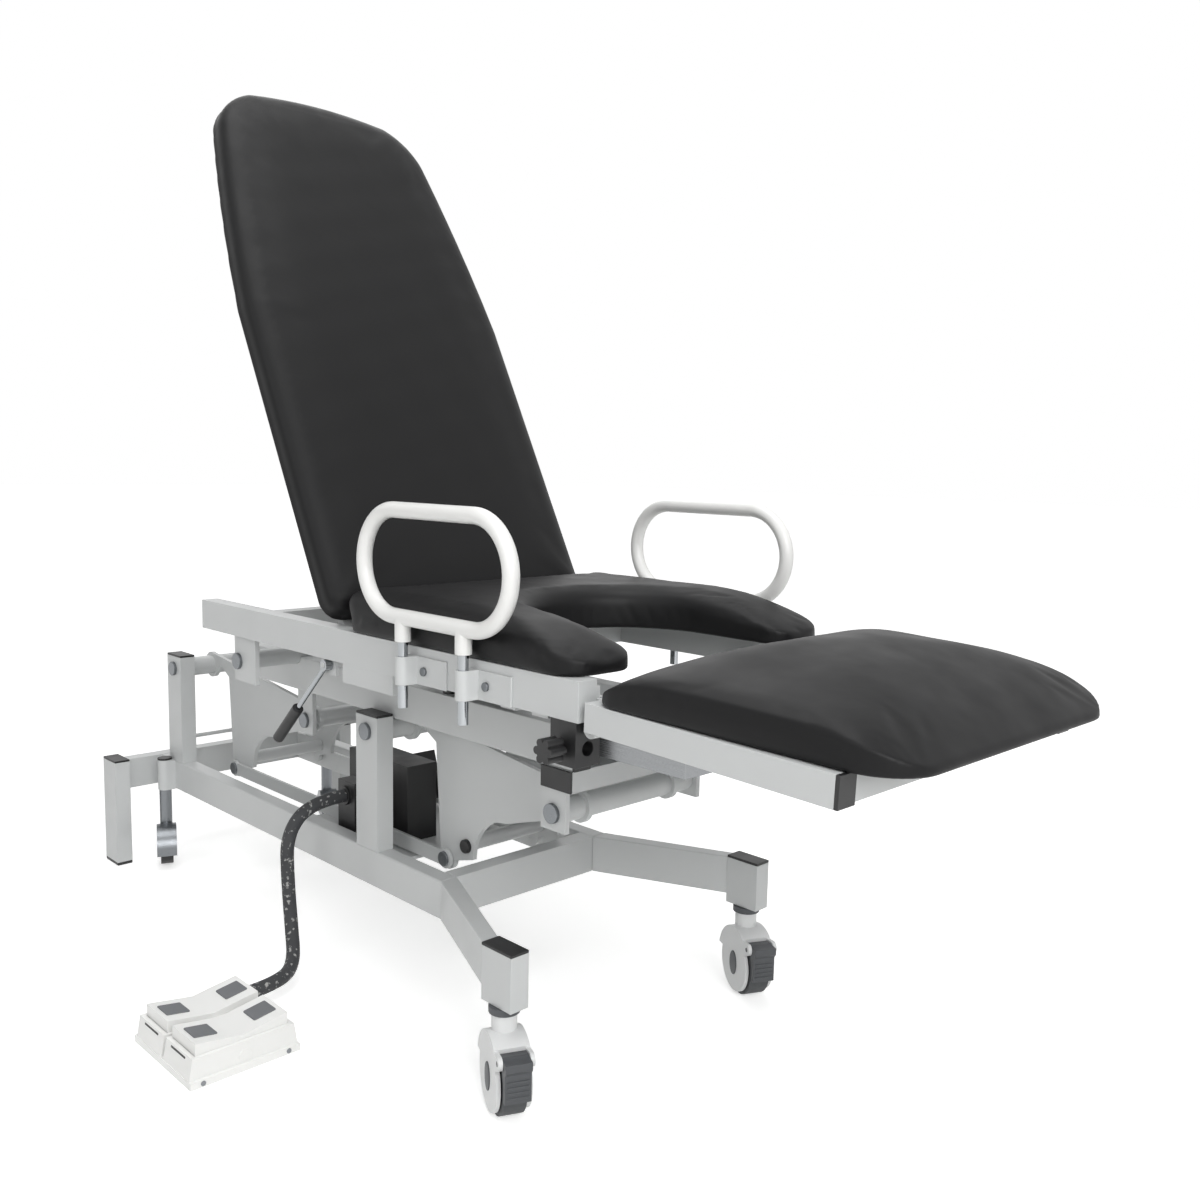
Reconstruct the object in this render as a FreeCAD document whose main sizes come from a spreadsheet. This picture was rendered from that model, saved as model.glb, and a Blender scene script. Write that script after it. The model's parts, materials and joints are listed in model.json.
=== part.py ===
"""Examination table: wheeled base, lifting arms, tilting seat, hinged backrest and foot section."""
import math
import os
import types

import FreeCAD
import Part
import Sketcher
from FreeCAD import Rotation, Vector

DIMENSIONS = {
    # Base frame
    "tube_height": 60, "tube_thick": 30, "cap_thick": 4, "foot_pad": 6,
    "base_inner": 142, "base_bottom": 154, "base_rear": -601, "base_front": 372,
    "foot_post_y": 260, "castor_post_x": 616, "castor_post_y": 251, "castor_post_bottom": 140,
    "leg_step": 0.4, "leg_end_inner": 236, "leg_end_outer": 262,
    "pivot_rear_x": -532, "pivot_front_x": 173, "pivot_z": 406, "upright_top": 431,
    "stay_radius": 4, "stay_z": 260,
    "socket_x": -550, "socket_y": 188, "socket_radius": 14, "socket_top": 216,
    "bolt_radius": 8, "bolt_head_radius": 14, "bolt_head": 6, "running": 0.05, "side_gap": 0.5,
    "equip_rear": -95, "equip_front": 200, "equip_bottom": 184, "equip_thick": 6,
    "box_rear": -40, "box_front": 140, "box_near": -70, "box_far": -10, "box_top": 322,
    "gland_x": 50, "gland_z": 266, "gland_radius": 16, "gland_face": -138,
    "junction_near": -133, "junction_far": -104, "junction_half": 26, "junction_top": 290,
    # Castors
    "stem_radius": 8, "swivel_gap": 0.3,
    "front_trail": 10, "front_wheel_radius": 50, "front_wheel_width": 32, "front_fender_radius": 58,
    "front_fender_inner": 53, "front_fender_half": 24, "front_fender_room": 18, "front_plate_radius": 21,
    "front_plate_thick": 9, "front_neck_radius": 17, "front_hood_low": 62, "front_hood_reach": 30,
    "front_shell_radius": 45, "front_stem": 45, "heading_right": -25, "heading_left": -27, "heading_rear": -23,
    "pedal_x": 46, "pedal_z": 40, "pedal_hub": 7, "pedal_pin": 3.5, "pedal_ear": 9, "pedal_face": 61,
    "pedal_low": -8, "pedal_gap": 3.5, "pedal_lip": 20, "pedal_top": 6,
    "rear_trail": 18, "rear_wheel_radius": 37.5, "rear_wheel_width": 24, "rear_wheel_lift": 3,
    "rear_fender_radius": 44, "rear_fender_inner": 40, "rear_fender_half": 19, "rear_fender_room": 14,
    "rear_neck_radius": 12, "rear_fender_low": 30, "rear_stem": 50,
    "front_axle_radius": 5, "rear_axle_radius": 4,
    # Lifting arms
    "plate_inner": 84, "plate_thick": 8, "pivot_tube_radius": 19, "lift_tube_radius": 17,
    "base_boss": 26, "lift_boss": 23, "apex_boss": 18,
    "lift_dx": 407, "lift_dz": -44, "apex_dx": 109, "apex_dz": -198, "brace_dx": 131, "brace_dz": -175,
    "brace_radius": 12, "notch_dx": 252, "notch_dz": -187, "notch_radius": 79,
    "rear_lift_half": 100.5, "front_lift_half": 130.5, "bolt_depth": 42,
    "tie_gap": 1, "tie_thick": 6, "tie_height": 25, "tie_boss": 16, "tie_head_radius": 12, "tie_head": 4,
    # Lift frame
    "lift_inner": 109, "lift_bottom": 427, "lift_rear": -300, "lift_overhang": 38,
    "front_bracket_length": 50, "bracket_low": 25, "mid_bracket_half": 25,
    "mid_bracket_top": 470, "tilt_x": -104, "tilt_z": 489, "tilt_tube_radius": 16, "tilt_gap": 1,
    "lift_cross_x": 15, "lift_cross_width": 30,
    "buffer_radius": 12, "buffer_x": 330, "buffer_y": 124, "rest_gap": 0.3,
    # Lift actuator
    "actuator_x": -61, "actuator_z": 215, "actuator_y": 30, "crank_dx": 80, "crank_dz": -91,
    "crank_pin": 8, "crank_play": 7, "crank_eye_wall": 7, "crank_eye_half": 6.5, "crank_cheek_gap": 8,
    "crank_cheek": 6, "crank_boss": 16, "rear_pin": 6, "rear_eye": 14, "rear_eye_half": 11,
    "housing_radius": 24, "housing_start": 25, "housing_end": 232, "actuator_rod": 7.5, "rod_tail": 130,
    "motor_start": 30, "motor_end": 140, "motor_half": 19, "motor_top": 62, "actuator_cheek": 6,
    # Seat frame
    "rail_inset": 35, "seat_bottom": 534, "seat_height": 50, "seat_rear": -218, "seat_front": 750,
    "tilt_plate_inset": 12, "tilt_plate_thick": 8, "tilt_plate_rear": -118, "tilt_plate_front": -46,
    "tilt_plate_low": 455, "cross_width": 30, "rear_cross_x": -73, "rear_cross_z": 546, "mid_cross_x": 315,
    "hinge_cross_x": 215, "hinge_cross_z": 525,
    "ear_rear": 690, "ear_thick": 6.5, "ear_top": 575, "ear_step": 749, "ear_gap": 0.4, "ear_boss": 11,
    "lever_bracket_rear": 176, "lever_bracket_front": 204, "lever_bracket_low": 508, "lever_plate_inset": 13,
    "lever_plate": 6, "pocket_rear": 242, "pocket_front": 372, "pocket_low": 506, "pocket_inset": 13,
    "clamp_rear": 700, "clamp_front": 745, "clamp_inner_step": -12, "clamp_width": 40, "clamp_low": 478,
    "clamp_bore": 9, "clamp_bore_inset": 20, "clamp_bore_z": 500, "clamp_x": 722,
    "knob_stem": 4, "knob_depth": 9, "knob_gap": 7, "knob_length": 25, "knob_core": 11, "knob_lobe": 5,
    # Seat, back and foot cushions
    "cushion_gap": 0.3, "seat_cushion_half": 262, "seat_cushion_front": 740, "seat_cushion_rear": 262,
    "seat_cushion_slope": 0.536, "seat_cushion_height": 65, "seat_taper": 220, "seat_front_edge": 23, "prong_width": 119, "cut_centre": 587,
    "back_x": 234, "back_z": 570, "back_lean": 28.2, "back_inset": 2, "back_thick": 60, "back_start": 36,
    "back_top": 1038, "back_shoulder": 577,
    "hinge_x": 184, "hinge_z": 572, "hinge_s": 25.4, "hinge_t": -43.1, "hinge_pin": 6, "hinge_boss": 13,
    "back_bar_width": 40, "back_bar_gap": 7, "back_bar_thick": 6, "back_bar_start": 20, "back_bar_end": 800,
    "back_ear_gap": 3, "back_pin_depth": 18, "strap_low": 187, "strap_high": 227, "strap_upper": 680,
    "strap_width": 40,
    "foot_hinge_x": 758, "foot_hinge_z": 526, "foot_rail_rear": 760, "foot_rail_front": 1103,
    "foot_rail_height": 35, "foot_lug": 10.5, "foot_pin": 5, "foot_cap": 5, "foot_cross_x": 900,
    "foot_cushion_rear": 766, "foot_cushion_front": 1170, "foot_taper": 16, "foot_drop": 2,
    "foot_cushion_height": 87, "foot_corner": 40, "foot_front_corner": 70, "foot_edge": 12, "foot_side": 44,
    # Loop handles
    "loop_gap": 14, "loop_rod_rear": 424, "loop_rod_front": 557, "loop_rod_radius": 7, "loop_rod_low": 501,
    "loop_sleeve_low": 592, "loop_tube": 11, "loop_x": 490, "loop_z": 697, "loop_half": 159, "loop_end": 72,
    "strap_clamp_low": 533, "strap_clamp_top": 572, "strap_clamp_wall": 3.5, "strap_clamp_plate": 3,
    "strap_clamp_length": 75, "strap_clamp_bolt": 27, "clamp_bolt_radius": 6, "clamp_bolt_height": 4,
    # Release lever
    "lever_x": 190, "lever_z": 524, "lever_inset": 26, "lever_radius": 4, "lever_eye": 9, "lever_eye_half": 6,
    "lever_bend_x": 104, "lever_bend_z": 443, "grip_length": 88, "grip_radius": 9,
    # Tray
    "tray_rear": 552, "tray_front": 785, "tray_half": 104, "tray_low": 446, "tray_rim_z": 500, "tray_rim": 2,
    "tray_wall": 2, "tray_flange": 7, "tray_flange_side": 13, "runner_rear": 560, "runner_front": 740,
    "runner_play": 0.4, "runner_lip": 3, "runner_inner": 107, "runner_outer": 126, "arm_thick": 6,
    "arm_width": 30, "arm_rear": 600, "arm_front": 660, "arm_lap": 23,
    # Gas springs
    "spring_pin": 5, "spring_eye": 9, "spring_eye_half": 6, "spring_cheek_gap": 1, "spring_cheek": 4,
    "back_spring_x": 185, "back_spring_z": 545, "back_spring_s": 180, "back_spring_t": -8, "back_spring_play": 3.6,
    "back_spring_radius": 11, "back_spring_end": 118, "back_spring_tail": 70,
    "tilt_spring_x": 60, "tilt_spring_z": 440, "tilt_top_x": 330, "tilt_top_z": 516, "tilt_spring_play": 2.8,
    "tilt_spring_radius": 10, "tilt_spring_end": 160, "tilt_spring_tail": 80,
    "spring_rod": 5, "spring_ring_wall": 3, "chamber_room": 30,
    # Foot switch and hose
    "switch_rear": 140, "switch_front": 308, "switch_near": -530, "switch_far": -380, "switch_top": 40,
    "switch_wall": 6, "switch_web": 14, "switch_floor": 24, "switch_flange": 10, "switch_foot": 6, "switch_draft": 5, "switch_gland": 8, "rocker_gap": 0.5, "rocker_axis_z": 33,
    "rocker_low": 36, "rocker_mid": 46, "rocker_high": 57, "rocker_hub": 7, "rocker_pin": 3, "rocker_pin_length": 3,
    "hose_radius": 11, "hose_x": 150, "hose_z": 24, "hose_drop_y": -246,
}

DOC = FreeCAD.newDocument("ExaminationTable")
SIDES = (("right", -1), ("left", 1))
NODES = []


class Size:
    """A number that carries the spreadsheet expression it comes from."""

    def __init__(self, value, text):
        self.value = float(value)
        self.text = text

    def __add__(self, other):
        other = as_size(other)
        return Size(self.value + other.value, f"({self.text} + {other.text})")

    def __radd__(self, other):
        return as_size(other) + self

    def __sub__(self, other):
        other = as_size(other)
        return Size(self.value - other.value, f"({self.text} - {other.text})")

    def __rsub__(self, other):
        return as_size(other) - self

    def __mul__(self, other):
        other = as_size(other)
        return Size(self.value * other.value, f"({self.text} * {other.text})")

    def __truediv__(self, other):
        other = as_size(other)
        return Size(self.value / other.value, f"({self.text} / {other.text})")

    def __neg__(self):
        return Size(-self.value, f"(0 - {self.text})")


def as_size(value):
    """Return a Size for a plain number, or the Size itself."""
    return value if isinstance(value, Size) else Size(value, f"({value})")


def write_sheet():
    """Write every named value to the spreadsheet and return the Sizes by name."""
    sheet = DOC.addObject("Spreadsheet::Sheet", "Sizes")
    for row, (name, value) in enumerate(DIMENSIONS.items(), start=1):
        sheet.set(f"A{row}", name)
        sheet.set(f"B{row}", str(value))
        sheet.setAlias(f"B{row}", name)
    DOC.recompute()
    return types.SimpleNamespace(**{name: Size(value, f"Sizes.{name}") for name, value in DIMENSIONS.items()})


S = write_sheet()
S.seat_inner = S.seat_cushion_half - S.rail_inset
S.seat_outer = S.seat_inner + S.tube_thick
S.tilt_plate_inner = S.seat_inner + S.tilt_plate_inset
S.tilt_tube_half = S.tilt_plate_inner - S.tilt_gap
S.ear_inner = S.seat_inner - S.ear_thick
S.lever_plate_y = S.seat_inner + S.lever_plate_inset
S.lever_y = S.seat_inner + S.lever_inset
S.pocket_inner = S.seat_inner + S.pocket_inset
S.clamp_inner = S.seat_inner + S.clamp_inner_step
S.clamp_outer = S.clamp_inner + S.clamp_width
S.clamp_bore_y = S.clamp_inner + S.clamp_bore_inset
S.knob_tip = S.clamp_outer - S.knob_depth
S.knob_inner = S.clamp_outer + S.knob_gap
S.knob_outer = S.knob_inner + S.knob_length
S.cut_half = S.seat_cushion_half - S.prong_width
S.back_half = S.seat_cushion_half - S.back_inset
S.back_bar_outer = S.seat_inner - S.back_bar_gap
S.back_bar_inner = S.back_bar_outer - S.back_bar_width
S.back_ear_outer = S.seat_inner - S.back_ear_gap
S.back_pin_end = S.seat_inner + S.back_pin_depth
S.foot_half_front = S.seat_cushion_half - S.foot_taper
S.loop_y = S.seat_cushion_half + S.loop_gap
S.arm_reach = S.seat_inner + S.arm_lap
S.lift_rear_x = S.pivot_rear_x + S.lift_dx
S.lift_front = S.pivot_front_x + S.lift_dx + S.lift_overhang
S.mid_bracket_rear = S.lift_rear_x - S.mid_bracket_half
S.mid_bracket_front = S.lift_rear_x + S.mid_bracket_half


def bind(obj, prop, size):
    """Tie a property to a spreadsheet expression."""
    obj.setExpression(prop, as_size(size).text)


def span(side, inner, outer):
    """Return the y range of a piece on one side of the middle plane."""
    return (inner, outer) if side > 0 else (-outer, -inner)


def both(half):
    """Return the range from minus half to plus half."""
    return (-half, half)


def box(label, x, y, z):
    """Make a box from three ranges."""
    obj = DOC.addObject("Part::Box", label)
    for prop, (low, high) in zip(("Length", "Width", "Height"), (x, y, z)):
        bind(obj, prop, as_size(high) - low)
    for axis, (low, _) in zip("xyz", (x, y, z)):
        bind(obj, f"Placement.Base.{axis}", low)
    return obj


TURNS = {"X": Rotation(Vector(0, 1, 0), 90), "Y": Rotation(Vector(1, 0, 0), -90), "Z": Rotation()}


def rod(label, axis, centre, along, radius):
    """Make a cylinder along X, Y or Z from its centre in the other two axes and its range."""
    obj = DOC.addObject("Part::Cylinder", label)
    obj.Placement = FreeCAD.Placement(Vector(), TURNS[axis])
    bind(obj, "Radius", radius)
    bind(obj, "Height", as_size(along[1]) - along[0])
    place = iter(centre)
    for name in "xyz":
        bind(obj, f"Placement.Base.{name}", along[0] if name.upper() == axis else next(place))
    return obj


PLANES = {
    "XY": (Rotation(), Vector(0, 0, 1), "z"),
    "XZ": (Rotation(Vector(1, 0, 0), 90), Vector(0, 1, 0), "y"),
    "YZ": (Rotation(Vector(0, 1, 0), Vector(0, 0, 1), Vector(1, 0, 0)), Vector(1, 0, 0), "x"),
}


def prism(label, plane, points, along):
    """Extrude a straight-sided outline, its corners tied to the spreadsheet, over a range."""
    turn, direction, axis = PLANES[plane]
    sketch = DOC.addObject("Sketcher::SketchObject", label + "_outline")
    sketch.Placement = FreeCAD.Placement(Vector(), turn)
    bind(sketch, f"Placement.Base.{axis}", along[0])
    corners = [(as_size(a), as_size(b)) for a, b in points]
    count = len(corners)
    for index, (a, b) in enumerate(corners):
        c, d = corners[(index + 1) % count]
        sketch.addGeometry(Part.LineSegment(Vector(a.value, b.value, 0), Vector(c.value, d.value, 0)))
    for index in range(count):
        sketch.addConstraint(Sketcher.Constraint("Coincident", index, 2, (index + 1) % count, 1))
    for index, pair in enumerate(corners):
        for kind, size in zip(("DistanceX", "DistanceY"), pair):
            number = sketch.addConstraint(Sketcher.Constraint(kind, -1, 1, index, 1, size.value))
            bind(sketch, f"Constraints[{number}]", size)
    solid = DOC.addObject("Part::Extrusion", label)
    solid.Base = sketch
    solid.DirMode = "Custom"
    solid.Dir = direction
    solid.Solid = True
    bind(solid, "LengthFwd", as_size(along[1]) - along[0])
    return solid


def fuse(label, *shapes):
    """Join shapes to one solid."""
    obj = DOC.addObject("Part::MultiFuse", label)
    obj.Shapes = list(shapes)
    obj.Refine = True
    return obj


def cut(label, base, *tools):
    """Take tools away from a shape."""
    obj = DOC.addObject("Part::Cut", label)
    obj.Base = base
    obj.Tool = tools[0] if len(tools) == 1 else gather(label + "_tools", tools)
    return obj


def gather(label, shapes):
    """Put separate solids into one compound."""
    obj = DOC.addObject("Part::Compound", label)
    obj.Links = list(shapes)
    return obj


def node(label, *shapes):
    """Register one exported sub-part made of one or more separate solids."""
    obj = shapes[0] if len(shapes) == 1 else gather(label, shapes)
    obj.Label = label
    NODES.append(obj)
    return obj


def place(obj, base, angle):
    """Place a sub-part built in its own frame: an origin and a turn about the minus Y axis."""
    x, y, z = (as_size(value).text for value in base)
    turn = as_size(angle).text
    obj.setExpression("Placement", f"placement(vector({x}; {y}; {z}); rotation(vector(0; -1; 0); {turn}))")


def turn(obj, x, y, heading):
    """Place a castor sub-part built around its own post axis: the post and a turn about Z."""
    x, y, angle = (as_size(value).text for value in (x, y, heading))
    obj.setExpression("Placement", f"placement(vector({x}; {y}; 0); rotation(vector(0; 0; 1); {angle}))")


def feature(label, shape):
    """Register a sub-part whose shape is lofted or swept from the spreadsheet sizes."""
    obj = DOC.addObject("Part::Feature", label)
    obj.Shape = shape
    return node(label, obj)


def base_frame():
    """Rails, rear beam with feet, front legs, uprights, caps, bolts and the equipment plate."""
    rail_z = (S.base_bottom, S.base_bottom + S.tube_height)
    rail_top = rail_z[1]
    half_tall = S.tube_height / 2
    half_thick = S.tube_thick / 2
    rails, rear, front, uprights, caps, bolts = [], [], [], [], [], []
    rear_x = (S.base_rear - S.tube_thick, S.base_rear)
    post_x = S.base_rear - half_thick
    rear.append(box("rear_beam", rear_x, both(S.foot_post_y - half_thick), rail_z))
    rear.append(rod("stay_rod", "Y", (S.pivot_rear_x, S.stay_z), both(S.base_inner), S.stay_radius))
    front.append(box("front_beam", (S.base_front - S.tube_thick, S.base_front), both(S.base_inner), rail_z))
    for name, side in SIDES:
        rail_y = span(side, S.base_inner, S.base_inner + S.tube_thick)
        rails.append(box(f"base_rail_{name}", (S.base_rear, S.base_front), rail_y, rail_z))
        foot_x = (post_x - half_tall, post_x + half_tall)
        foot_y = span(side, S.foot_post_y - half_thick, S.foot_post_y + half_thick)
        rear.append(box(f"foot_post_{name}", foot_x, foot_y, (S.foot_pad, rail_top)))
        caps.append(box(f"foot_pad_{name}", foot_x, foot_y, (0, S.foot_pad)))
        caps.append(box(f"foot_cap_{name}", foot_x, foot_y, (rail_top, rail_top + S.cap_thick)))
        socket_at = (S.socket_x, S.socket_y * side)
        socket_z = (S.base_bottom, S.socket_top)
        web_x = (S.socket_x - S.socket_radius, S.socket_x + S.socket_radius)
        web = box(f"socket_web_{name}", web_x, span(side, S.base_inner + S.tube_thick, S.socket_y), rail_z)
        tube = rod(f"socket_tube_{name}", "Z", socket_at, socket_z, S.socket_radius)
        bore_z = (S.base_bottom, S.base_bottom + S.rear_stem + 2)
        bore = rod(f"socket_bore_{name}", "Z", socket_at, bore_z, S.stem_radius + S.running)
        rear.append(cut(f"castor_socket_{name}", fuse(f"socket_body_{name}", web, tube), bore))
        caps.append(rod(f"socket_cap_{name}", "Z", socket_at, (S.socket_top, S.socket_top + S.cap_thick),
                        S.socket_radius))
        y_in, y_out = S.base_inner, S.base_inner + S.tube_thick
        leg_end = S.castor_post_x - half_tall
        leg = [(S.base_front, (y_in + S.leg_step) * side), (leg_end, S.leg_end_inner * side),
               (leg_end, S.leg_end_outer * side), (S.base_front, y_out * side)]
        front.append(prism(f"front_leg_{name}", "XY", leg if side > 0 else leg[::-1], rail_z))
        castor_x = (S.castor_post_x - half_tall, S.castor_post_x + half_tall)
        castor_y = span(side, S.castor_post_y - half_thick, S.castor_post_y + half_thick)
        post = box(f"castor_post_body_{name}", castor_x, castor_y, (S.castor_post_bottom, rail_top))
        stem_z = (S.castor_post_bottom, S.castor_post_bottom + S.front_stem + 2)
        stem = rod(f"castor_post_bore_{name}", "Z", (S.castor_post_x, S.castor_post_y * side), stem_z,
                   S.stem_radius + S.running)
        front.append(cut(f"castor_post_{name}", post, stem))
        caps.append(box(f"castor_cap_{name}", castor_x, castor_y, (rail_top, rail_top + S.cap_thick)))
        for end, pivot_x in (("rear", S.pivot_rear_x), ("front", S.pivot_front_x)):
            up_x = (pivot_x - half_tall, pivot_x + half_tall)
            post = box(f"upright_body_{end}_{name}", up_x, rail_y, (rail_top, S.upright_top))
            bore = rod(f"upright_bore_{end}_{name}", "Y", (pivot_x, S.pivot_z), rail_y, S.bolt_radius + S.running)
            uprights.append(cut(f"upright_{end}_{name}", post, bore))
            caps.append(box(f"upright_cap_{end}_{name}", up_x, rail_y,
                            (S.upright_top, S.upright_top + S.cap_thick)))
            outer = S.base_inner + S.tube_thick
            shank = rod(f"pivot_shank_{end}_{name}", "Y", (pivot_x, S.pivot_z),
                        span(side, S.base_inner - S.bolt_depth, outer + S.bolt_head), S.bolt_radius)
            head = rod(f"pivot_head_{end}_{name}", "Y", (pivot_x, S.pivot_z),
                       span(side, outer, outer + S.bolt_head), S.bolt_head_radius)
            bolts.append(fuse(f"pivot_bolt_{end}_{name}", shank, head))
    plate_top = S.equip_bottom + S.equip_thick
    front.append(box("equipment_plate", (S.equip_rear, S.equip_front), both(S.base_inner),
                     (S.equip_bottom, plate_top)))
    front.append(actuator_bracket(plate_top))
    node("base_rails", *rails)
    node("base_rear_frame", *rear)
    node("base_front_frame", *front)
    node("base_uprights", *uprights)
    node("base_end_caps", *caps)
    node("base_pivot_bolts", *bolts)
    main = box("control_housing", (S.box_rear, S.box_front), (S.box_near, S.box_far), (plate_top, S.box_top))
    junction_x = (S.gland_x - S.junction_half, S.gland_x + S.junction_half)
    junction = box("junction_box", junction_x, (S.junction_near, S.junction_far), (plate_top, S.junction_top))
    gland = rod("hose_gland", "Y", (S.gland_x, S.gland_z), (S.gland_face, S.junction_far), S.gland_radius)
    node("control_box", main, fuse("junction", junction, gland))


def actuator_bracket(plate_top):
    """Two cheeks with the rear pin of the lift actuator."""
    parts = []
    for name, side in SIDES:
        inner = S.rear_eye_half + S.side_gap
        low, high = span(side, inner, inner + S.actuator_cheek)
        parts.append(box(f"actuator_cheek_{name}", (S.actuator_x - S.rear_eye, S.actuator_x + S.rear_eye),
                         (S.actuator_y + low, S.actuator_y + high), (plate_top, S.actuator_z + S.rear_eye)))
    reach = S.rear_eye_half + S.side_gap + S.actuator_cheek
    parts.append(rod("actuator_rear_pin", "Y", (S.actuator_x, S.actuator_z),
                     (S.actuator_y - reach, S.actuator_y + reach), S.rear_pin))
    return fuse("actuator_bracket", *parts)


def rear_fork(label, top_z, axle_z):
    """Small rear castor fork with its axle, around its own socket axis."""
    x = S.rear_trail
    wide = both(S.rear_fender_half)
    outer = rod(f"{label}_fender", "Y", (x, axle_z), wide, S.rear_fender_radius)
    neck = rod(f"{label}_neck", "Z", (0, 0), (axle_z + S.rear_fender_radius * 0.6, top_z), S.rear_neck_radius)
    stem = rod(f"{label}_stem", "Z", (0, 0), (top_z - 1, top_z + S.rear_stem), S.stem_radius)
    room = rod(f"{label}_room", "Y", (x, axle_z), both(S.rear_fender_room), S.rear_fender_inner)
    reach = S.rear_fender_radius * 2
    below = box(f"{label}_below", (x - reach, x + reach), both(reach), (axle_z - reach, S.rear_fender_low))
    fork = cut(f"{label}_fork", fuse(f"{label}_body", outer, neck, stem), room, below)
    axle = rod(f"{label}_axle", "Y", (x, axle_z), wide, S.rear_axle_radius)
    return node(label, fuse(f"{label}_with_axle", fork, axle))


def wheel(label, x, y, z, radius, width, axle):
    """A wheel with a running bore."""
    body = rod(f"{label}_tread", "Y", (x, z), (y - width / 2, y + width / 2), radius)
    bore = rod(f"{label}_bore", "Y", (x, z), (y - width, y + width), axle + S.running)
    return node(label, cut(f"{label}_rim", body, bore))


def front_fork(label, top_z):
    """Hooded twin-shell fork with swivel collar, stem, axle and pedal ears, around its own post axis."""
    x, z = S.front_trail, S.front_wheel_radius
    wide = both(S.front_fender_half)
    reach = S.front_fender_radius * 2
    hinge = (x + S.pedal_x, z + S.pedal_z)
    hood = rod(f"{label}_hood_disc", "Y", (x, z), wide, S.front_fender_radius)
    low = box(f"{label}_hood_low", (x - reach, x + reach), both(reach), (z - reach, S.front_hood_low))
    ahead = box(f"{label}_hood_ahead", (x + S.front_hood_reach, x + reach), both(reach), (z - reach, z + reach))
    body = [cut(f"{label}_hood", hood, low, ahead),
            rod(f"{label}_neck", "Z", (0, 0), (z + S.front_fender_radius * 0.6, top_z), S.front_neck_radius),
            rod(f"{label}_collar", "Z", (0, 0), (top_z - S.front_plate_thick, top_z), S.front_plate_radius),
            rod(f"{label}_stem", "Z", (0, 0), (top_z - 1, top_z + S.front_stem), S.stem_radius)]
    web = [(x + 10, z + S.front_shell_radius), (hinge[0], hinge[1] + S.pedal_ear), (hinge[0], hinge[1] - S.pedal_ear),
           (x + 30, z + 20), (x, z + 10)]
    for name, side in SIDES:
        y = span(side, S.front_fender_room, S.front_fender_half)
        body.append(rod(f"{label}_shell_{name}", "Y", (x, z), y, S.front_shell_radius))
        body.append(prism(f"{label}_ear_web_{name}", "XZ", web, y))
        body.append(rod(f"{label}_ear_{name}", "Y", hinge, y, S.pedal_ear))
    room = rod(f"{label}_room", "Y", (x, z), both(S.front_fender_room), S.front_fender_inner)
    hole = rod(f"{label}_ear_hole", "Y", hinge, wide, S.pedal_pin + S.running)
    fork = cut(f"{label}_fork", fuse(f"{label}_body", *body), room, hole)
    axle = rod(f"{label}_axle", "Y", (x, z), wide, S.front_axle_radius)
    return node(label, fuse(f"{label}_with_axle", fork, axle))


def brake_pedal(label):
    """Brake pedal in front of the wheel, hung from the fork ears."""
    x, z = S.front_trail, S.front_wheel_radius
    hinge = (x + S.pedal_x, z + S.pedal_z)
    inner = both(S.front_fender_room - S.side_gap)
    face, back = x + S.pedal_face, x + S.front_wheel_radius + S.pedal_gap
    top, lip = hinge[1] + S.pedal_top, hinge[0] + S.pedal_lip
    outline = [(hinge[0] - 12, top), (lip, top), (lip, hinge[1] - 4), (face, hinge[1] - 10), (face, z + S.pedal_low),
               (back, z + S.pedal_low), (back, z + 12), (hinge[0], z + 31), (hinge[0] - 12, top - 2)]
    parts = [prism(f"{label}_cover", "XZ", outline, inner), rod(f"{label}_hub", "Y", hinge, inner, S.pedal_hub),
             rod(f"{label}_pin", "Y", hinge, both(S.front_fender_half), S.pedal_pin)]
    return node(label, fuse(f"{label}_body", *parts))


def castors():
    """Two braked front castors and two small rear castors."""
    for name, side in SIDES:
        post = (S.castor_post_x, S.castor_post_y * side)
        heading = S.heading_right if side < 0 else S.heading_left
        turn(front_fork(f"castor_front_{name}", S.castor_post_bottom - S.swivel_gap), *post, heading)
        turn(wheel(f"castor_front_wheel_{name}", S.front_trail, as_size(0), S.front_wheel_radius, S.front_wheel_radius,
                   S.front_wheel_width, S.front_axle_radius), *post, heading)
        turn(brake_pedal(f"castor_front_pedal_{name}"), *post, heading)
        socket = (S.socket_x, S.socket_y * side)
        axle_z = S.rear_wheel_radius + S.rear_wheel_lift
        turn(rear_fork(f"castor_rear_{name}", S.base_bottom - S.swivel_gap, axle_z), *socket, S.heading_rear)
        turn(wheel(f"castor_rear_wheel_{name}", S.rear_trail, as_size(0), axle_z, S.rear_wheel_radius,
                   S.rear_wheel_width, S.rear_axle_radius), *socket, S.heading_rear)


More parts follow.
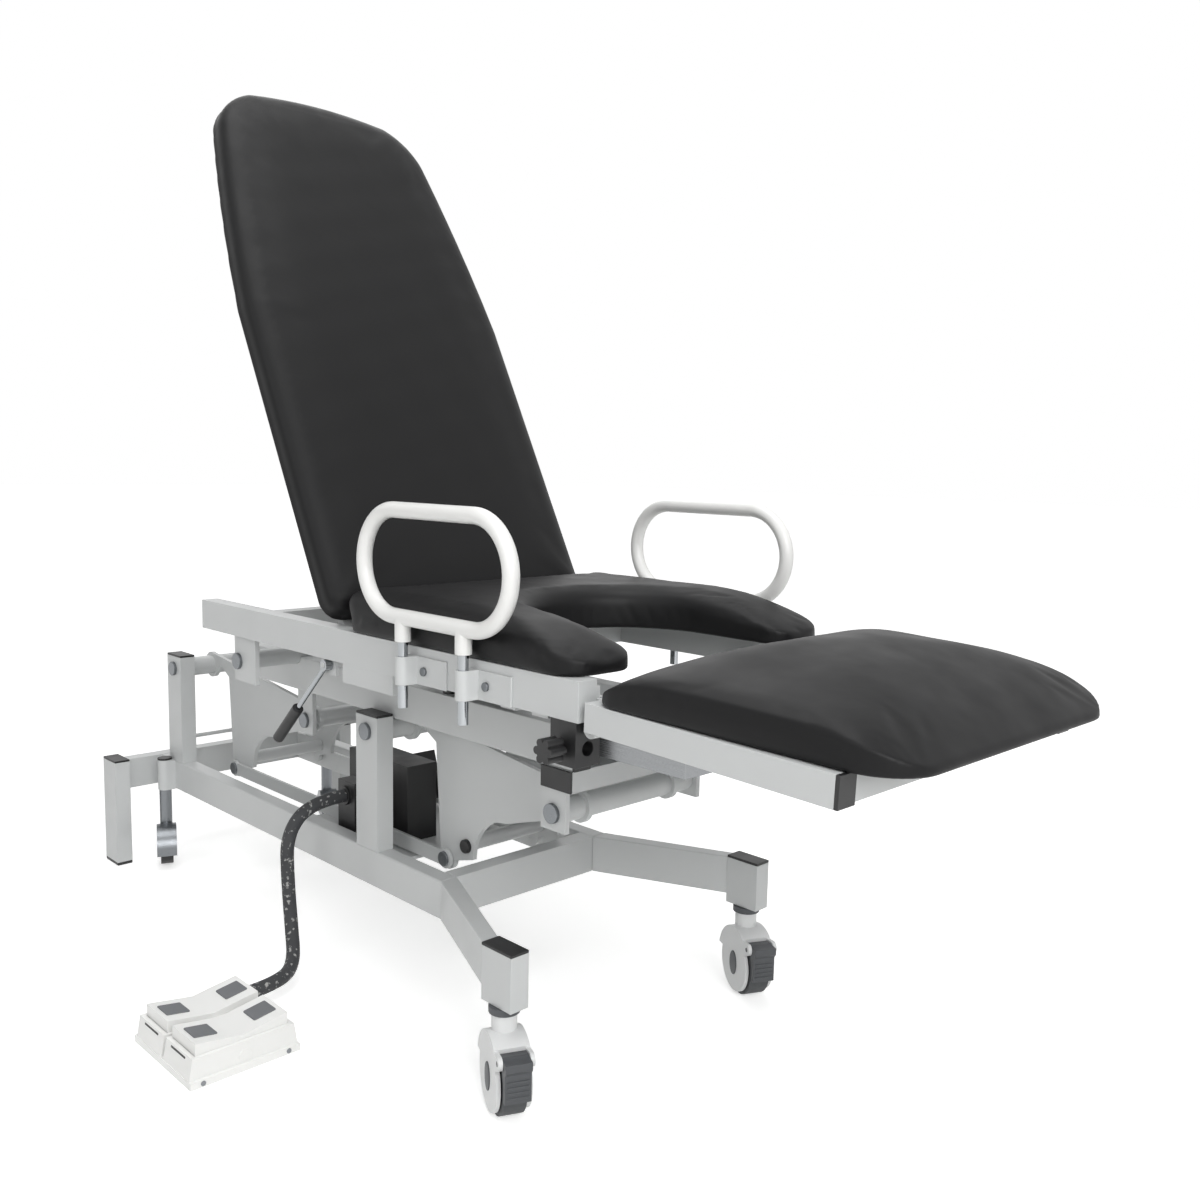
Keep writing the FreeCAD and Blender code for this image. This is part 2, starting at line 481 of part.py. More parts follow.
def arm(label, pivot_x, lift_half):
    """Bell-crank plates of one lifting arm with its tubes."""
    def at(dx, dz):
        return (pivot_x + dx, S.pivot_z + dz)
    lift, apex = at(S.lift_dx, S.lift_dz), at(S.apex_dx, S.apex_dz)
    outline = [at(-3, S.base_boss - 0.2), at(S.lift_dx + 2.5, S.lift_dz + S.lift_boss - 0.2),
               at(S.lift_dx - 11, S.lift_dz - 20), at(S.notch_dx - 2, S.notch_dz + S.notch_radius),
               at(S.notch_dx - S.notch_radius, S.notch_dz + 2), at(S.apex_dx + S.apex_boss, S.apex_dz),
               at(S.apex_dx - S.apex_boss, S.apex_dz), at(77, -16), at(42, 3), at(15, -21)]
    plates = []
    for name, side in SIDES:
        y = span(side, S.plate_inner, S.plate_inner + S.plate_thick)
        tag = f"{label}_{name}"
        web = prism(f"{tag}_web", "XZ", outline, y)
        bosses = [rod(f"{tag}_base_boss", "Y", at(0, 0), y, S.base_boss),
                  rod(f"{tag}_lift_boss", "Y", lift, y, S.lift_boss),
                  rod(f"{tag}_apex_boss", "Y", apex, y, S.apex_boss)]
        holes = [rod(f"{tag}_notch", "Y", at(S.notch_dx, S.notch_dz), y, S.notch_radius),
                 rod(f"{tag}_base_hole", "Y", at(0, 0), y, S.pivot_tube_radius + S.running),
                 rod(f"{tag}_lift_hole", "Y", lift, y, S.lift_tube_radius + S.running),
                 rod(f"{tag}_apex_hole", "Y", apex, y, S.bolt_radius + S.running)]
        plates.append(cut(f"{tag}_plate", fuse(f"{tag}_blank", web, *bosses), *holes))
    node(f"{label}_plates", *plates)
    tubes = []
    pivot = [rod(f"{label}_pivot_tube", "Y", at(0, 0), both(S.base_inner - S.side_gap * 2), S.pivot_tube_radius)]
    if label == "front_arm":
        pivot += crank_lug(at)
    for key, centre, half, body in (("pivot", at(0, 0), S.base_inner - S.side_gap * 2, pivot),
                                    ("lift", lift, lift_half, None)):
        if body is None:
            body = [rod(f"{label}_lift_tube", "Y", lift, both(lift_half), S.lift_tube_radius)]
        base = body[0] if len(body) == 1 else fuse(f"{label}_{key}_body", *body)
        bores = [rod(f"{label}_{key}_bore_{name}", "Y", centre, span(side, half - S.bolt_depth, half),
                     S.bolt_radius + S.running) for name, side in SIDES]
        tubes.append(cut(f"{label}_{key}_bored", base, *bores))
    tubes.append(rod(f"{label}_brace", "Y", at(S.brace_dx, S.brace_dz), both(S.plate_inner), S.brace_radius))
    node(f"{label}_tubes", *tubes)


def crank_lug(at):
    """Two cheeks and a pin on the front pivot tube, driven by the actuator rod."""
    length = math.hypot(S.crank_dx.value, S.crank_dz.value)
    nx, nz = -S.crank_dz.value / length, S.crank_dx.value / length
    wide = S.crank_boss
    outline = [at(wide * nx, wide * nz), at(wide * -nx, wide * -nz),
               at(S.crank_dx - wide * nx, S.crank_dz - wide * nz), at(S.crank_dx + wide * nx, S.crank_dz + wide * nz)]
    parts = []
    for name, side in SIDES:
        low, high = span(side, S.crank_cheek_gap, S.crank_cheek_gap + S.crank_cheek)
        y = (S.actuator_y + low, S.actuator_y + high)
        parts.append(prism(f"crank_cheek_{name}", "XZ", outline, y))
        parts.append(rod(f"crank_boss_{name}", "Y", at(S.crank_dx, S.crank_dz), y, S.crank_boss))
    reach = S.crank_cheek_gap + S.crank_cheek
    parts.append(rod("crank_pin", "Y", at(S.crank_dx, S.crank_dz), (S.actuator_y - reach, S.actuator_y + reach),
                     S.crank_pin))
    return parts


def tie_bars():
    """Bars with end pins that keep the two arms in step."""
    bars = []
    rear_x, front_x = S.pivot_rear_x + S.apex_dx, S.pivot_front_x + S.apex_dx
    z = S.pivot_z + S.apex_dz
    inner = S.plate_inner + S.plate_thick + S.tie_gap
    outer = inner + S.tie_thick
    for name, side in SIDES:
        y = span(side, inner, outer)
        parts = [box(f"tie_strip_{name}", (rear_x, front_x), y, (z - S.tie_height / 2, z + S.tie_height / 2))]
        for end, x in (("rear", rear_x), ("front", front_x)):
            parts.append(rod(f"tie_boss_{end}_{name}", "Y", (x, z), y, S.tie_boss))
            parts.append(rod(f"tie_pin_{end}_{name}", "Y", (x, z), span(side, S.plate_inner, outer), S.bolt_radius))
            parts.append(rod(f"tie_head_{end}_{name}", "Y", (x, z), span(side, outer, outer + S.tie_head),
                             S.tie_head_radius))
        bars.append(fuse(f"tie_bar_{name}", *parts))
    node("tie_bars", *bars)


def lift_frame():
    """Rails, cross members, brackets, tilt tube, caps, buffers and pivot bolts."""
    top = S.lift_bottom + S.tube_height
    outer = S.lift_inner + S.tube_thick
    beam_z = (S.lift_bottom - S.tube_thick, S.lift_bottom)
    beam_x = (S.lift_front - S.tube_height, S.lift_front)
    cross = [box("lift_front_beam", beam_x, both(outer), beam_z),
             box("lift_rear_beam", (S.lift_rear, S.lift_rear + S.tube_thick), both(S.lift_inner),
                 (S.lift_bottom, top)),
             box("lift_mid_beam", (S.lift_cross_x, S.lift_cross_x + S.lift_cross_width), both(S.lift_inner),
                 (S.lift_bottom, S.lift_bottom + S.lift_cross_width))]
    rails, caps, bolts = [], [], []
    pivots = {"rear": (S.pivot_rear_x + S.lift_dx, S.pivot_z + S.lift_dz),
              "front": (S.pivot_front_x + S.lift_dx, S.pivot_z + S.lift_dz)}
    for name, side in SIDES:
        y = span(side, S.lift_inner, outer)
        rail = box(f"lift_rail_body_{name}", (S.lift_rear, S.lift_front), y, (S.lift_bottom, top))
        saddle = rod(f"lift_saddle_{name}", "Y", (S.tilt_x, S.tilt_z), y, S.tilt_tube_radius + S.running)
        rails.append(cut(f"lift_rail_{name}", rail, saddle))
        caps.append(box(f"lift_rail_cap_{name}", (S.lift_front, S.lift_front + S.cap_thick), y, (S.lift_bottom, top)))
        caps.append(box(f"lift_beam_cap_{name}", beam_x, span(side, outer, outer + S.cap_thick), beam_z))
        buffer_z = (top, S.seat_bottom - S.rest_gap)
        caps.append(rod(f"lift_buffer_{name}", "Z", (S.buffer_x, S.buffer_y * side), buffer_z, S.buffer_radius))
        half = S.front_bracket_length / 2
        x, z = pivots["front"]
        spans = {"front": span(side, S.front_lift_half + S.side_gap, outer),
                 "rear": span(side, S.rear_lift_half + S.side_gap, S.lift_inner)}
        blanks = {"front": box(f"front_bracket_body_{name}", (x - half, x + half), spans["front"],
                               (z - S.bracket_low, beam_z[0])),
                  "rear": box(f"rear_bracket_body_{name}", (S.mid_bracket_rear, S.mid_bracket_front), spans["rear"],
                              (z - S.bracket_low, S.mid_bracket_top))}
        for end, blank in blanks.items():
            at = pivots[end]
            bore = rod(f"{end}_bracket_bore_{name}", "Y", at, spans[end], S.bolt_radius + S.running)
            cross.append(cut(f"{end}_bracket_{name}", blank, bore))
            face = outer if end == "front" else S.lift_inner
            tube = S.front_lift_half if end == "front" else S.rear_lift_half
            shank = rod(f"lift_shank_{end}_{name}", "Y", at, span(side, tube - S.bolt_depth, face + S.bolt_head),
                        S.bolt_radius)
            head = rod(f"lift_head_{end}_{name}", "Y", at, span(side, face, face + S.bolt_head), S.bolt_head_radius)
            bolts.append(fuse(f"lift_bolt_{end}_{name}", shank, head))
    cross.append(spring_cheeks("tilt_low", S.tilt_spring_x, S.tilt_spring_z, S.lift_cross_x + S.lift_cross_width, None))
    node("lift_rails", *rails)
    node("lift_cross_frame", *cross)
    tube = rod("tilt_tube_body", "Y", (S.tilt_x, S.tilt_z), both(S.tilt_tube_half), S.tilt_tube_radius)
    bores = [rod(f"tilt_bore_{name}", "Y", (S.tilt_x, S.tilt_z),
                 span(side, S.tilt_tube_half - S.bolt_depth, S.tilt_tube_half), S.bolt_radius + S.running)
             for name, side in SIDES]
    node("lift_tilt_tube", cut("tilt_tube", tube, *bores))
    node("lift_end_caps", *caps)
    node("lift_pivot_bolts", *bolts)


def spring_cheeks(label, x, z, wall_x, wall_z):
    """Two cheeks with a pin for a gas-spring eye, standing off a cross tube."""
    reach = S.spring_eye + 2
    inner = S.spring_eye_half + S.spring_cheek_gap
    outer = inner + S.spring_cheek
    x_range = (x - reach, x + reach)
    z_range = (z - reach, z + reach)
    if wall_x is not None:
        x_range = (wall_x, x + reach) if wall_x.value < x.value else (x - reach, wall_x)
    if wall_z is not None:
        z_range = (z - reach, wall_z)
    parts = [box(f"{label}_cheek_{name}", x_range, span(side, inner, outer), z_range) for name, side in SIDES]
    parts.append(rod(f"{label}_pin", "Y", (x, z), both(outer), S.spring_pin))
    return fuse(f"{label}_bracket", *parts)


def strut(label, start, end, y, size):
    """A cylinder and a rod between two pivots, both built along X and turned into place."""
    dx, dz = as_size(end[0]) - start[0], as_size(end[1]) - start[1]
    length = Size(math.hypot(dx.value, dz.value), f"hypot({dx.text}; {dz.text})")
    angle = Size(math.degrees(math.atan2(dz.value, dx.value)), f"atan2({dz.text}; {dx.text})")
    base = (start[0], y, start[1])
    eye = rod(f"{label}_eye", "Y", (0, 0), both(size.eye_half), size.eye)
    barrel = rod(f"{label}_barrel", "X", (0, 0), (size.start, size.end), size.radius)
    neck = rod(f"{label}_neck", "X", (0, 0), (0, size.start), size.eye * 0.65)
    bore = rod(f"{label}_bore", "Y", (0, 0), both(size.eye_half * 2), size.pin + S.running)
    chamber = rod(f"{label}_chamber", "X", (0, 0), (size.tail - S.chamber_room, size.end), size.rod + S.running)
    body = cut(f"{label}_barrel_bored", fuse(f"{label}_barrel_body", eye, barrel, neck, *size.extra), bore, chamber)
    ring_in = size.top_pin + size.play
    ring_out = ring_in + size.wall
    shaft = rod(f"{label}_shaft", "X", (0, 0), (size.tail, length - ring_in - size.wall / 2), size.rod)
    ring = rod(f"{label}_ring", "Y", (length, 0), both(size.ring_half), ring_out)
    hole = rod(f"{label}_ring_hole", "Y", (length, 0), both(size.ring_half * 2), ring_in)
    moving = cut(f"{label}_ring_bored", fuse(f"{label}_shaft_body", shaft, ring), hole)
    for obj in (body, moving):
        place(obj, base, angle)
    return body, moving


def struts():
    """Lift actuator and the two gas springs."""
    motor = box("actuator_motor", (S.motor_start, S.motor_end), both(S.motor_half), (0, S.motor_top))
    lift = types.SimpleNamespace(eye=S.rear_eye, eye_half=S.rear_eye_half, pin=S.rear_pin, start=S.housing_start,
                                 end=S.housing_end, radius=S.housing_radius, tail=S.rod_tail, rod=S.actuator_rod,
                                 top_pin=S.crank_pin, play=S.crank_play, wall=S.crank_eye_wall,
                                 ring_half=S.crank_eye_half, extra=[motor])
    crank = (S.pivot_front_x + S.crank_dx, S.pivot_z + S.crank_dz)
    body, moving = strut("actuator", (S.actuator_x, S.actuator_z), crank, S.actuator_y, lift)
    node("actuator_body", body)
    node("actuator_rod", moving)
    lean = math.radians(S.back_lean.value)
    sin, cos = f"sin({S.back_lean.text} * 1 deg)", f"cos({S.back_lean.text} * 1 deg)"
    sine, cosine = Size(math.sin(lean), sin), Size(math.cos(lean), cos)
    top = (S.hinge_x - S.back_spring_s * sine + S.back_spring_t * cosine,
           S.hinge_z + S.back_spring_s * cosine + S.back_spring_t * sine)
    springs = (("back_spring", (S.back_spring_x, S.back_spring_z), top, S.back_spring_play, S.back_spring_radius,
                S.back_spring_end, S.back_spring_tail),
               ("tilt_spring", (S.tilt_spring_x, S.tilt_spring_z), (S.tilt_top_x, S.tilt_top_z), S.tilt_spring_play,
                S.tilt_spring_radius, S.tilt_spring_end, S.tilt_spring_tail))
    for label, start, end, play, radius, barrel_end, tail in springs:
        size = types.SimpleNamespace(eye=S.spring_eye, eye_half=S.spring_eye_half, pin=S.spring_pin,
                                     start=S.spring_eye * 2, end=barrel_end, radius=radius, tail=tail,
                                     rod=S.spring_rod, top_pin=S.spring_pin, play=play, wall=S.spring_ring_wall,
                                     ring_half=S.spring_eye_half, extra=[])
        body, moving = strut(label, start, end, 0, size)
        node(f"{label}_cylinder", body)
        node(f"{label}_rod", moving)


def seat_frame():
    """Seat rails, cross tubes, brackets, clamps, runners and fasteners."""
    top = S.seat_bottom + S.seat_height
    outer = S.seat_outer
    rails, cross, brackets, fasteners, clamps, holders, runners = [], [], [], [], [], [], []
    wide = S.cross_width
    cross.append(box("seat_rear_cross", (S.rear_cross_x, S.rear_cross_x + wide), both(S.seat_inner),
                     (S.rear_cross_z, S.rear_cross_z + wide)))
    cross.append(box("seat_mid_cross", (S.mid_cross_x, S.mid_cross_x + wide), both(S.seat_inner),
                     (S.seat_bottom, S.seat_bottom + wide)))
    cross.append(box("seat_hinge_cross", (S.hinge_cross_x, S.hinge_cross_x + wide), both(S.seat_inner),
                     (S.hinge_cross_z, S.hinge_cross_z + wide)))
    cross.append(spring_cheeks("back_low", S.back_spring_x, S.back_spring_z, S.hinge_cross_x, None))
    cross.append(spring_cheeks("tilt_top", S.tilt_top_x, S.tilt_top_z, None, S.seat_bottom))
    for name, side in SIDES:
        y = span(side, S.seat_inner, outer)
        rail = box(f"seat_rail_body_{name}", (S.seat_rear, S.seat_front), y, (S.seat_bottom, top))
        bore = rod(f"back_hinge_bore_{name}", "Y", (S.hinge_x, S.hinge_z), span(side, S.seat_inner, S.back_pin_end + 1),
                   S.hinge_pin + S.running)
        rails.append(cut(f"seat_rail_{name}", rail, bore))
        plate_y = span(side, S.tilt_plate_inner, S.tilt_plate_inner + S.tilt_plate_thick)
        plate = box(f"tilt_plate_body_{name}", (S.tilt_plate_rear, S.tilt_plate_front), plate_y,
                    (S.tilt_plate_low, S.seat_bottom))
        hole = rod(f"tilt_plate_hole_{name}", "Y", (S.tilt_x, S.tilt_z), plate_y, S.bolt_radius + S.running)
        cross.append(cut(f"tilt_plate_{name}", plate, hole))
        face = S.tilt_plate_inner + S.tilt_plate_thick
        shank = rod(f"tilt_shank_{name}", "Y", (S.tilt_x, S.tilt_z),
                    span(side, S.tilt_tube_half - S.bolt_depth, face + S.bolt_head), S.bolt_radius)
        head = rod(f"tilt_head_{name}", "Y", (S.tilt_x, S.tilt_z), span(side, face, face + S.bolt_head),
                   S.bolt_head_radius)
        fasteners.append(fuse(f"tilt_bolt_{name}", shank, head))
        hinge = (S.foot_hinge_x, S.foot_hinge_z)
        ear_y = span(side, S.ear_inner, S.seat_inner)
        thin_y = span(side, S.ear_inner, S.seat_inner - S.ear_gap)
        ear = [box(f"ear_plate_{name}", (S.ear_rear, S.ear_step), ear_y, (S.seat_bottom + 2, S.ear_top)),
               box(f"ear_tab_{name}", (S.ear_step - 1, S.foot_hinge_x + S.ear_boss), thin_y,
                   (S.foot_hinge_z, S.foot_hinge_z + S.foot_rail_height - 1)),
               rod(f"ear_boss_{name}", "Y", hinge, thin_y, S.ear_boss)]
        hole = rod(f"ear_hole_{name}", "Y", hinge, ear_y, S.foot_pin + S.running)
        brackets.append(cut(f"foot_ear_{name}", fuse(f"foot_ear_body_{name}", *ear), hole))
        shank = rod(f"foot_pin_shank_{name}", "Y", hinge, span(side, S.ear_inner - 5, S.seat_inner + 16), S.foot_pin)
        head = rod(f"foot_pin_head_{name}", "Y", hinge, span(side, S.ear_inner - 5, S.ear_inner), S.foot_pin + 4)
        fasteners.append(fuse(f"foot_hinge_pin_{name}", shank, head))
        for end, x in (("rear", S.loop_rod_rear), ("front", S.loop_rod_front)):
            tag = f"{end}_{name}"
            z = (S.strap_clamp_low, S.strap_clamp_top)
            ring = S.loop_rod_radius + S.strap_clamp_wall
            at = (x, S.loop_y * side)
            plate_y = span(side, outer, outer + S.strap_clamp_plate)
            strap = [rod(f"clamp_ring_{tag}", "Z", at, z, ring),
                     box(f"clamp_web_{tag}", (x - ring, x + ring), span(side, outer, S.loop_y), z),
                     box(f"clamp_plate_{tag}", (x - ring, x + S.strap_clamp_length), plate_y, z)]
            hole = rod(f"clamp_hole_{tag}", "Z", at, z, S.loop_rod_radius + S.running)
            clamps.append(cut(f"loop_clamp_{tag}", fuse(f"loop_clamp_body_{tag}", *strap), hole))
            mid = (S.strap_clamp_low + S.strap_clamp_top) / 2
            plate_face = outer + S.strap_clamp_plate
            fasteners.append(rod(f"clamp_bolt_{tag}", "Y", (x + S.strap_clamp_bolt, mid),
                                 span(side, plate_face, plate_face + S.clamp_bolt_height), S.clamp_bolt_radius))
        block = box(f"holder_block_{name}", (S.clamp_rear, S.clamp_front), span(side, S.clamp_inner, S.clamp_outer),
                    (S.clamp_low, S.seat_bottom))
        bore = rod(f"holder_bore_{name}", "X", (S.clamp_bore_y * side, S.clamp_bore_z), (S.clamp_rear, S.clamp_front),
                   S.clamp_bore)
        screw = rod(f"holder_screw_{name}", "Y", (S.clamp_x, S.clamp_bore_z), span(side, S.clamp_bore_y, S.clamp_outer),
                    S.knob_stem + S.running)
        holders.append(cut(f"leg_holder_{name}", block, bore, screw))
        runners.append(tray_runner(name, side))
    pivot_y = -S.lever_plate_y - S.lever_plate
    tab = box("lever_tab", (S.lever_bracket_rear, S.lever_bracket_front), (pivot_y, -S.lever_plate_y),
              (S.lever_bracket_low, S.seat_bottom))
    pin = rod("lever_pin", "Y", (S.lever_x, S.lever_z), (-S.lever_y - S.lever_eye_half - 1, -S.lever_plate_y),
              S.lever_radius)
    brackets.append(fuse("lever_bracket", tab, pin))
    brackets.append(box("pocket_bracket", (S.pocket_rear, S.pocket_front), (-outer, -S.pocket_inner),
                        (S.pocket_low, S.seat_bottom)))
    node("seat_rails", *rails)
    node("seat_cross_frame", *cross)
    node("seat_brackets", *brackets)
    node("seat_fasteners", *fasteners)
    node("loop_clamps", *clamps)
    node("leg_holder_clamps", *holders)
    node("tray_runners", *runners)


def tray_runner(name, side):
    """A channel for the tray flange with two arms up to the seat rail."""
    flange = S.tray_half + S.tray_flange_side
    web_y = span(side, flange + S.runner_play, S.runner_outer)
    lip_y = span(side, S.runner_inner, S.runner_outer)
    x = (S.runner_rear, S.runner_front)
    low = S.tray_rim_z - S.runner_play
    high = S.tray_rim_z + S.tray_rim + S.runner_play
    parts = [box(f"runner_web_{name}", x, web_y, (low - S.runner_lip, S.seat_bottom)),
             box(f"runner_low_lip_{name}", x, lip_y, (low - S.runner_lip, low)),
             box(f"runner_top_lip_{name}", x, lip_y, (high, high + S.runner_lip))]
    for end, start in (("rear", S.arm_rear), ("front", S.arm_front)):
        parts.append(box(f"runner_arm_{end}_{name}", (start, start + S.arm_width),
                         span(side, flange + S.runner_play, S.arm_reach),
                         (S.seat_bottom - S.arm_thick, S.seat_bottom)))
    return fuse(f"runner_{name}", *parts)


def rounded_outline(corners, z):
    """Close a wire through (x, y, radius) corners in the plane at height z."""
    count = len(corners)
    edges, ends = [], []
    for index, (x, y, radius) in enumerate(corners):
        here = Vector(x, y, z)
        before = Vector(*corners[index - 1][:2], z) - here
        after = Vector(*corners[(index + 1) % count][:2], z) - here
        before.normalize()
        after.normalize()
        half = before.getAngle(after) / 2
        reach = radius / math.tan(half)
        middle = before + after
        middle.normalize()
        mid = here + middle * (radius / math.sin(half) - radius)
        ends.append((here + before * reach, mid, here + after * reach))
    for index, (first, mid, last) in enumerate(ends):
        edges.append(Part.Arc(first, mid, last).toShape())
        edges.append(Part.makeLine(last, ends[(index + 1) % count][0]))
    return Part.Wire(edges)


def above_arch(first, mid, last, sweep):
    """Solid above a three-point arch, swept along a vector, that shapes the top of a cushion."""
    high = max(first.z, mid.z, last.z) + 50
    first_high, last_high = Vector(first.x, first.y, high), Vector(last.x, last.y, high)
    outline = Part.Wire([Part.Arc(first, mid, last).toShape(), Part.makeLine(last, last_high),
                         Part.makeLine(last_high, first_high), Part.makeLine(first_high, first)])
    return Part.Face(outline).extrude(sweep)


def seat_cushion():
    """Seat cushion with a U cut-out, drawn-in edges and a crowned top."""
    height = S.seat_cushion_height.value
    low = S.seat_bottom.value + S.seat_height.value + S.cushion_gap.value
    wires = []
    prong = S.prong_width.value
    for up, inset in ((0, 5), (5, 0), (34, 0), (46, 3), (56, 11), (62, 24), (height, prong * 0.36)):
        z = low + up
        rear = S.seat_cushion_rear.value - S.seat_cushion_slope.value * up + inset
        front = S.seat_cushion_front.value - inset
        half = S.seat_cushion_half.value - inset
        cut_half = S.cut_half.value + inset
        corner = max(prong * 0.38 - inset, prong * 0.05)
        tip = max(prong * 0.25 - inset, prong * 0.04)
        back = max(22 - inset * 0.4, 4)
        centre = S.cut_centre.value

        def arc(cx, cy, radius, start, end):
            angles = [math.radians(value) for value in (start, (start + end) / 2, end)]
            first, mid, last = (Vector(cx + radius * math.cos(a), cy + radius * math.sin(a), z) for a in angles)
            return Part.Arc(first, mid, last).toShape()
        arcs = [arc(rear + back, -half + back, back, 180, 270),
                arc(front - corner, -half + corner, corner, 270, 360),
                arc(front - tip, -cut_half - tip, tip, 0, 90),
                arc(centre, 0, cut_half, 270, 180),
                arc(centre, 0, cut_half, 180, 90),
                arc(front - tip, cut_half + tip, tip, 270, 360),
                arc(front - corner, half - corner, corner, 0, 90),
                arc(rear + back, half - back, back, 90, 180)]
        edges = []
        for index, edge in enumerate(arcs):
            edges.append(edge)
            last = edge.valueAt(edge.LastParameter)
            following = arcs[(index + 1) % len(arcs)]
            start = following.valueAt(following.FirstParameter)
            if last.distanceToPoint(start) > 0.01:
                edges.append(Part.makeLine(last, start))
        wires.append(Part.Wire(edges))
    front, half = S.seat_cushion_front.value, S.seat_cushion_half.value
    slope = above_arch(Vector(front - S.seat_taper.value, -half, low + height + 2),
                       Vector(front - S.seat_taper.value * 0.41, -half, low + height - 12.7),
                       Vector(front + 1, -half, low + S.seat_front_edge.value), Vector(0, 2 * half, 0))
    feature("seat_cushion", Part.makeLoft(wires, True, True).cut(slope).Solids[0])


def back_cushion():
    """Backrest cushion with tapering shoulders, round head and crowned front."""
    thick = S.back_thick.value
    low = -thick / 2 + S.cushion_gap.value
    wires = []
    for up, inset in ((0, 5), (5, 0), (29, 0), (40, 5), (46, 16), (50, 46)):
        t = low + up
        half = S.back_half.value - inset
        start = S.back_start.value + inset
        top = S.back_top.value - inset
        corner = max(34 - inset * 0.6, 5)
        shoulder = S.back_shoulder.value
        side = [Vector(t, half, start + corner), Vector(t, half, shoulder),
                Vector(t, half - 17.5, shoulder + 178), Vector(t, half - 47, top - 93 + inset * 0.75),
                Vector(t, half - 71 + inset * 0.2, top - 48 + inset * 0.4),
                Vector(t, half - 121 + inset * 0.55, top - 12 + inset * 0.05)]
        head = Vector(t, 0, top)

        def mirror(point):
            return Vector(point.x, -point.y, point.z)
        bend = corner * (1 - math.sqrt(0.5))
        foot_mid = Vector(t, half - bend, start + bend)
        foot = Vector(t, half - corner, start)
        wires.append(Part.Wire([
            Part.makeLine(mirror(foot), foot),
            Part.Arc(foot, foot_mid, side[0]).toShape(),
            Part.makeLine(side[0], side[1]),
            Part.Arc(side[1], side[2], side[3]).toShape(),
            Part.Arc(side[3], side[4], side[5]).toShape(),
            Part.Arc(side[5], head, mirror(side[5])).toShape(),
            Part.Arc(mirror(side[5]), mirror(side[4]), mirror(side[3])).toShape(),
            Part.Arc(mirror(side[3]), mirror(side[2]), mirror(side[1])).toShape(),
            Part.makeLine(mirror(side[1]), mirror(side[0])),
            Part.Arc(mirror(side[0]), mirror(foot_mid), mirror(foot)).toShape()]))
    place(feature("backrest_cushion", Part.makeLoft(wires, True, True)), (S.back_x, 0, S.back_z), S.back_lean)


def foot_cushion():
    """Foot cushion, slightly narrower at the front, with a high crown."""
    low = S.foot_rail_height.value + S.cushion_gap.value
    hinge = S.foot_hinge_x.value
    wires = []
    height = S.foot_cushion_height.value
    levels = ((0, 4), (4, 0), (36, 0), (50, 5), (62, 20), (75, 52), (height, 100))
    for up, inset in levels:
        rear, front = S.foot_cushion_rear.value - hinge + inset, S.foot_cushion_front.value - hinge - inset
        wide, narrow = S.seat_cushion_half.value - inset, S.foot_half_front.value - inset
        corner = max(S.foot_corner.value - inset * 0.2, 8)
        tip = max(S.foot_front_corner.value - inset * 0.1, 8)
        wires.append(rounded_outline([(rear, -wide, corner), (front, -narrow, tip), (front, narrow, tip),
                                      (rear, wide, corner)], low + up))
    rear, front = S.foot_cushion_rear.value - hinge - 1, S.foot_cushion_front.value - hinge + 1
    half = S.seat_cushion_half.value
    edge, side = S.foot_edge.value, S.foot_side.value
    along = above_arch(Vector(rear, -half, low + edge), Vector((rear + front) / 2, -half, low + height - 1),
                       Vector(front, -half, low + edge), Vector(0, 2 * half, 0))
    across = above_arch(Vector(rear, -half, low + side), Vector(rear, 0, low + height - 1), Vector(rear, half, low + side),
                        Vector(front - rear, 0, 0))
    shape = Part.makeLoft(wires, True, True).cut(along).cut(across).Solids[0]
    place(feature("foot_cushion", shape), (S.foot_hinge_x, 0, S.foot_hinge_z), -S.foot_drop)


def backrest():
    """Backrest bars with hinge ears and pins, straps and the gas-spring cheeks."""
    t = (-S.back_thick / 2 - S.back_bar_thick, -S.back_thick / 2)
    hinge = (S.hinge_t, S.hinge_s)
    parts = []
    for name, side in SIDES:
        bar = box(f"back_bar_{name}", t, span(side, S.back_bar_inner, S.back_bar_outer),
                  (S.back_bar_start, S.back_bar_end))
        ear_y = span(side, S.back_bar_outer - 4, S.back_ear_outer)
        ear = box(f"back_ear_{name}", (S.hinge_t, t[1]), ear_y,
                  (S.hinge_s - S.hinge_boss, S.hinge_s + S.hinge_boss * 3))
        boss = rod(f"back_boss_{name}", "Y", hinge, ear_y, S.hinge_boss)
        pin = rod(f"back_pin_{name}", "Y", hinge, span(side, S.back_bar_outer - 4, S.back_pin_end), S.hinge_pin)
        parts.append(fuse(f"back_side_{name}", bar, ear, boss, pin))
    parts.append(box("back_upper_strap", t, both(S.back_bar_inner), (S.strap_upper, S.strap_upper + S.strap_width)))
    strap = box("back_lower_strap", t, both(S.back_bar_inner), (S.strap_low, S.strap_high))
    at = (S.hinge_t + S.back_spring_t, S.hinge_s + S.back_spring_s)
    inner = S.spring_eye_half + S.spring_cheek_gap
    outer = inner + S.spring_cheek
    reach = S.spring_eye + 2
    cheeks = [box(f"back_cheek_{name}", (at[0] - reach, t[0]), span(side, inner, outer), (at[1] - reach, at[1] + reach))
              for name, side in SIDES]
    pin = rod("back_spring_pin", "Y", at, both(outer), S.spring_pin)
    parts.append(fuse("back_strap_bracket", strap, pin, *cheeks))
    place(node("backrest_frame", *parts), (S.back_x, 0, S.back_z), S.back_lean)


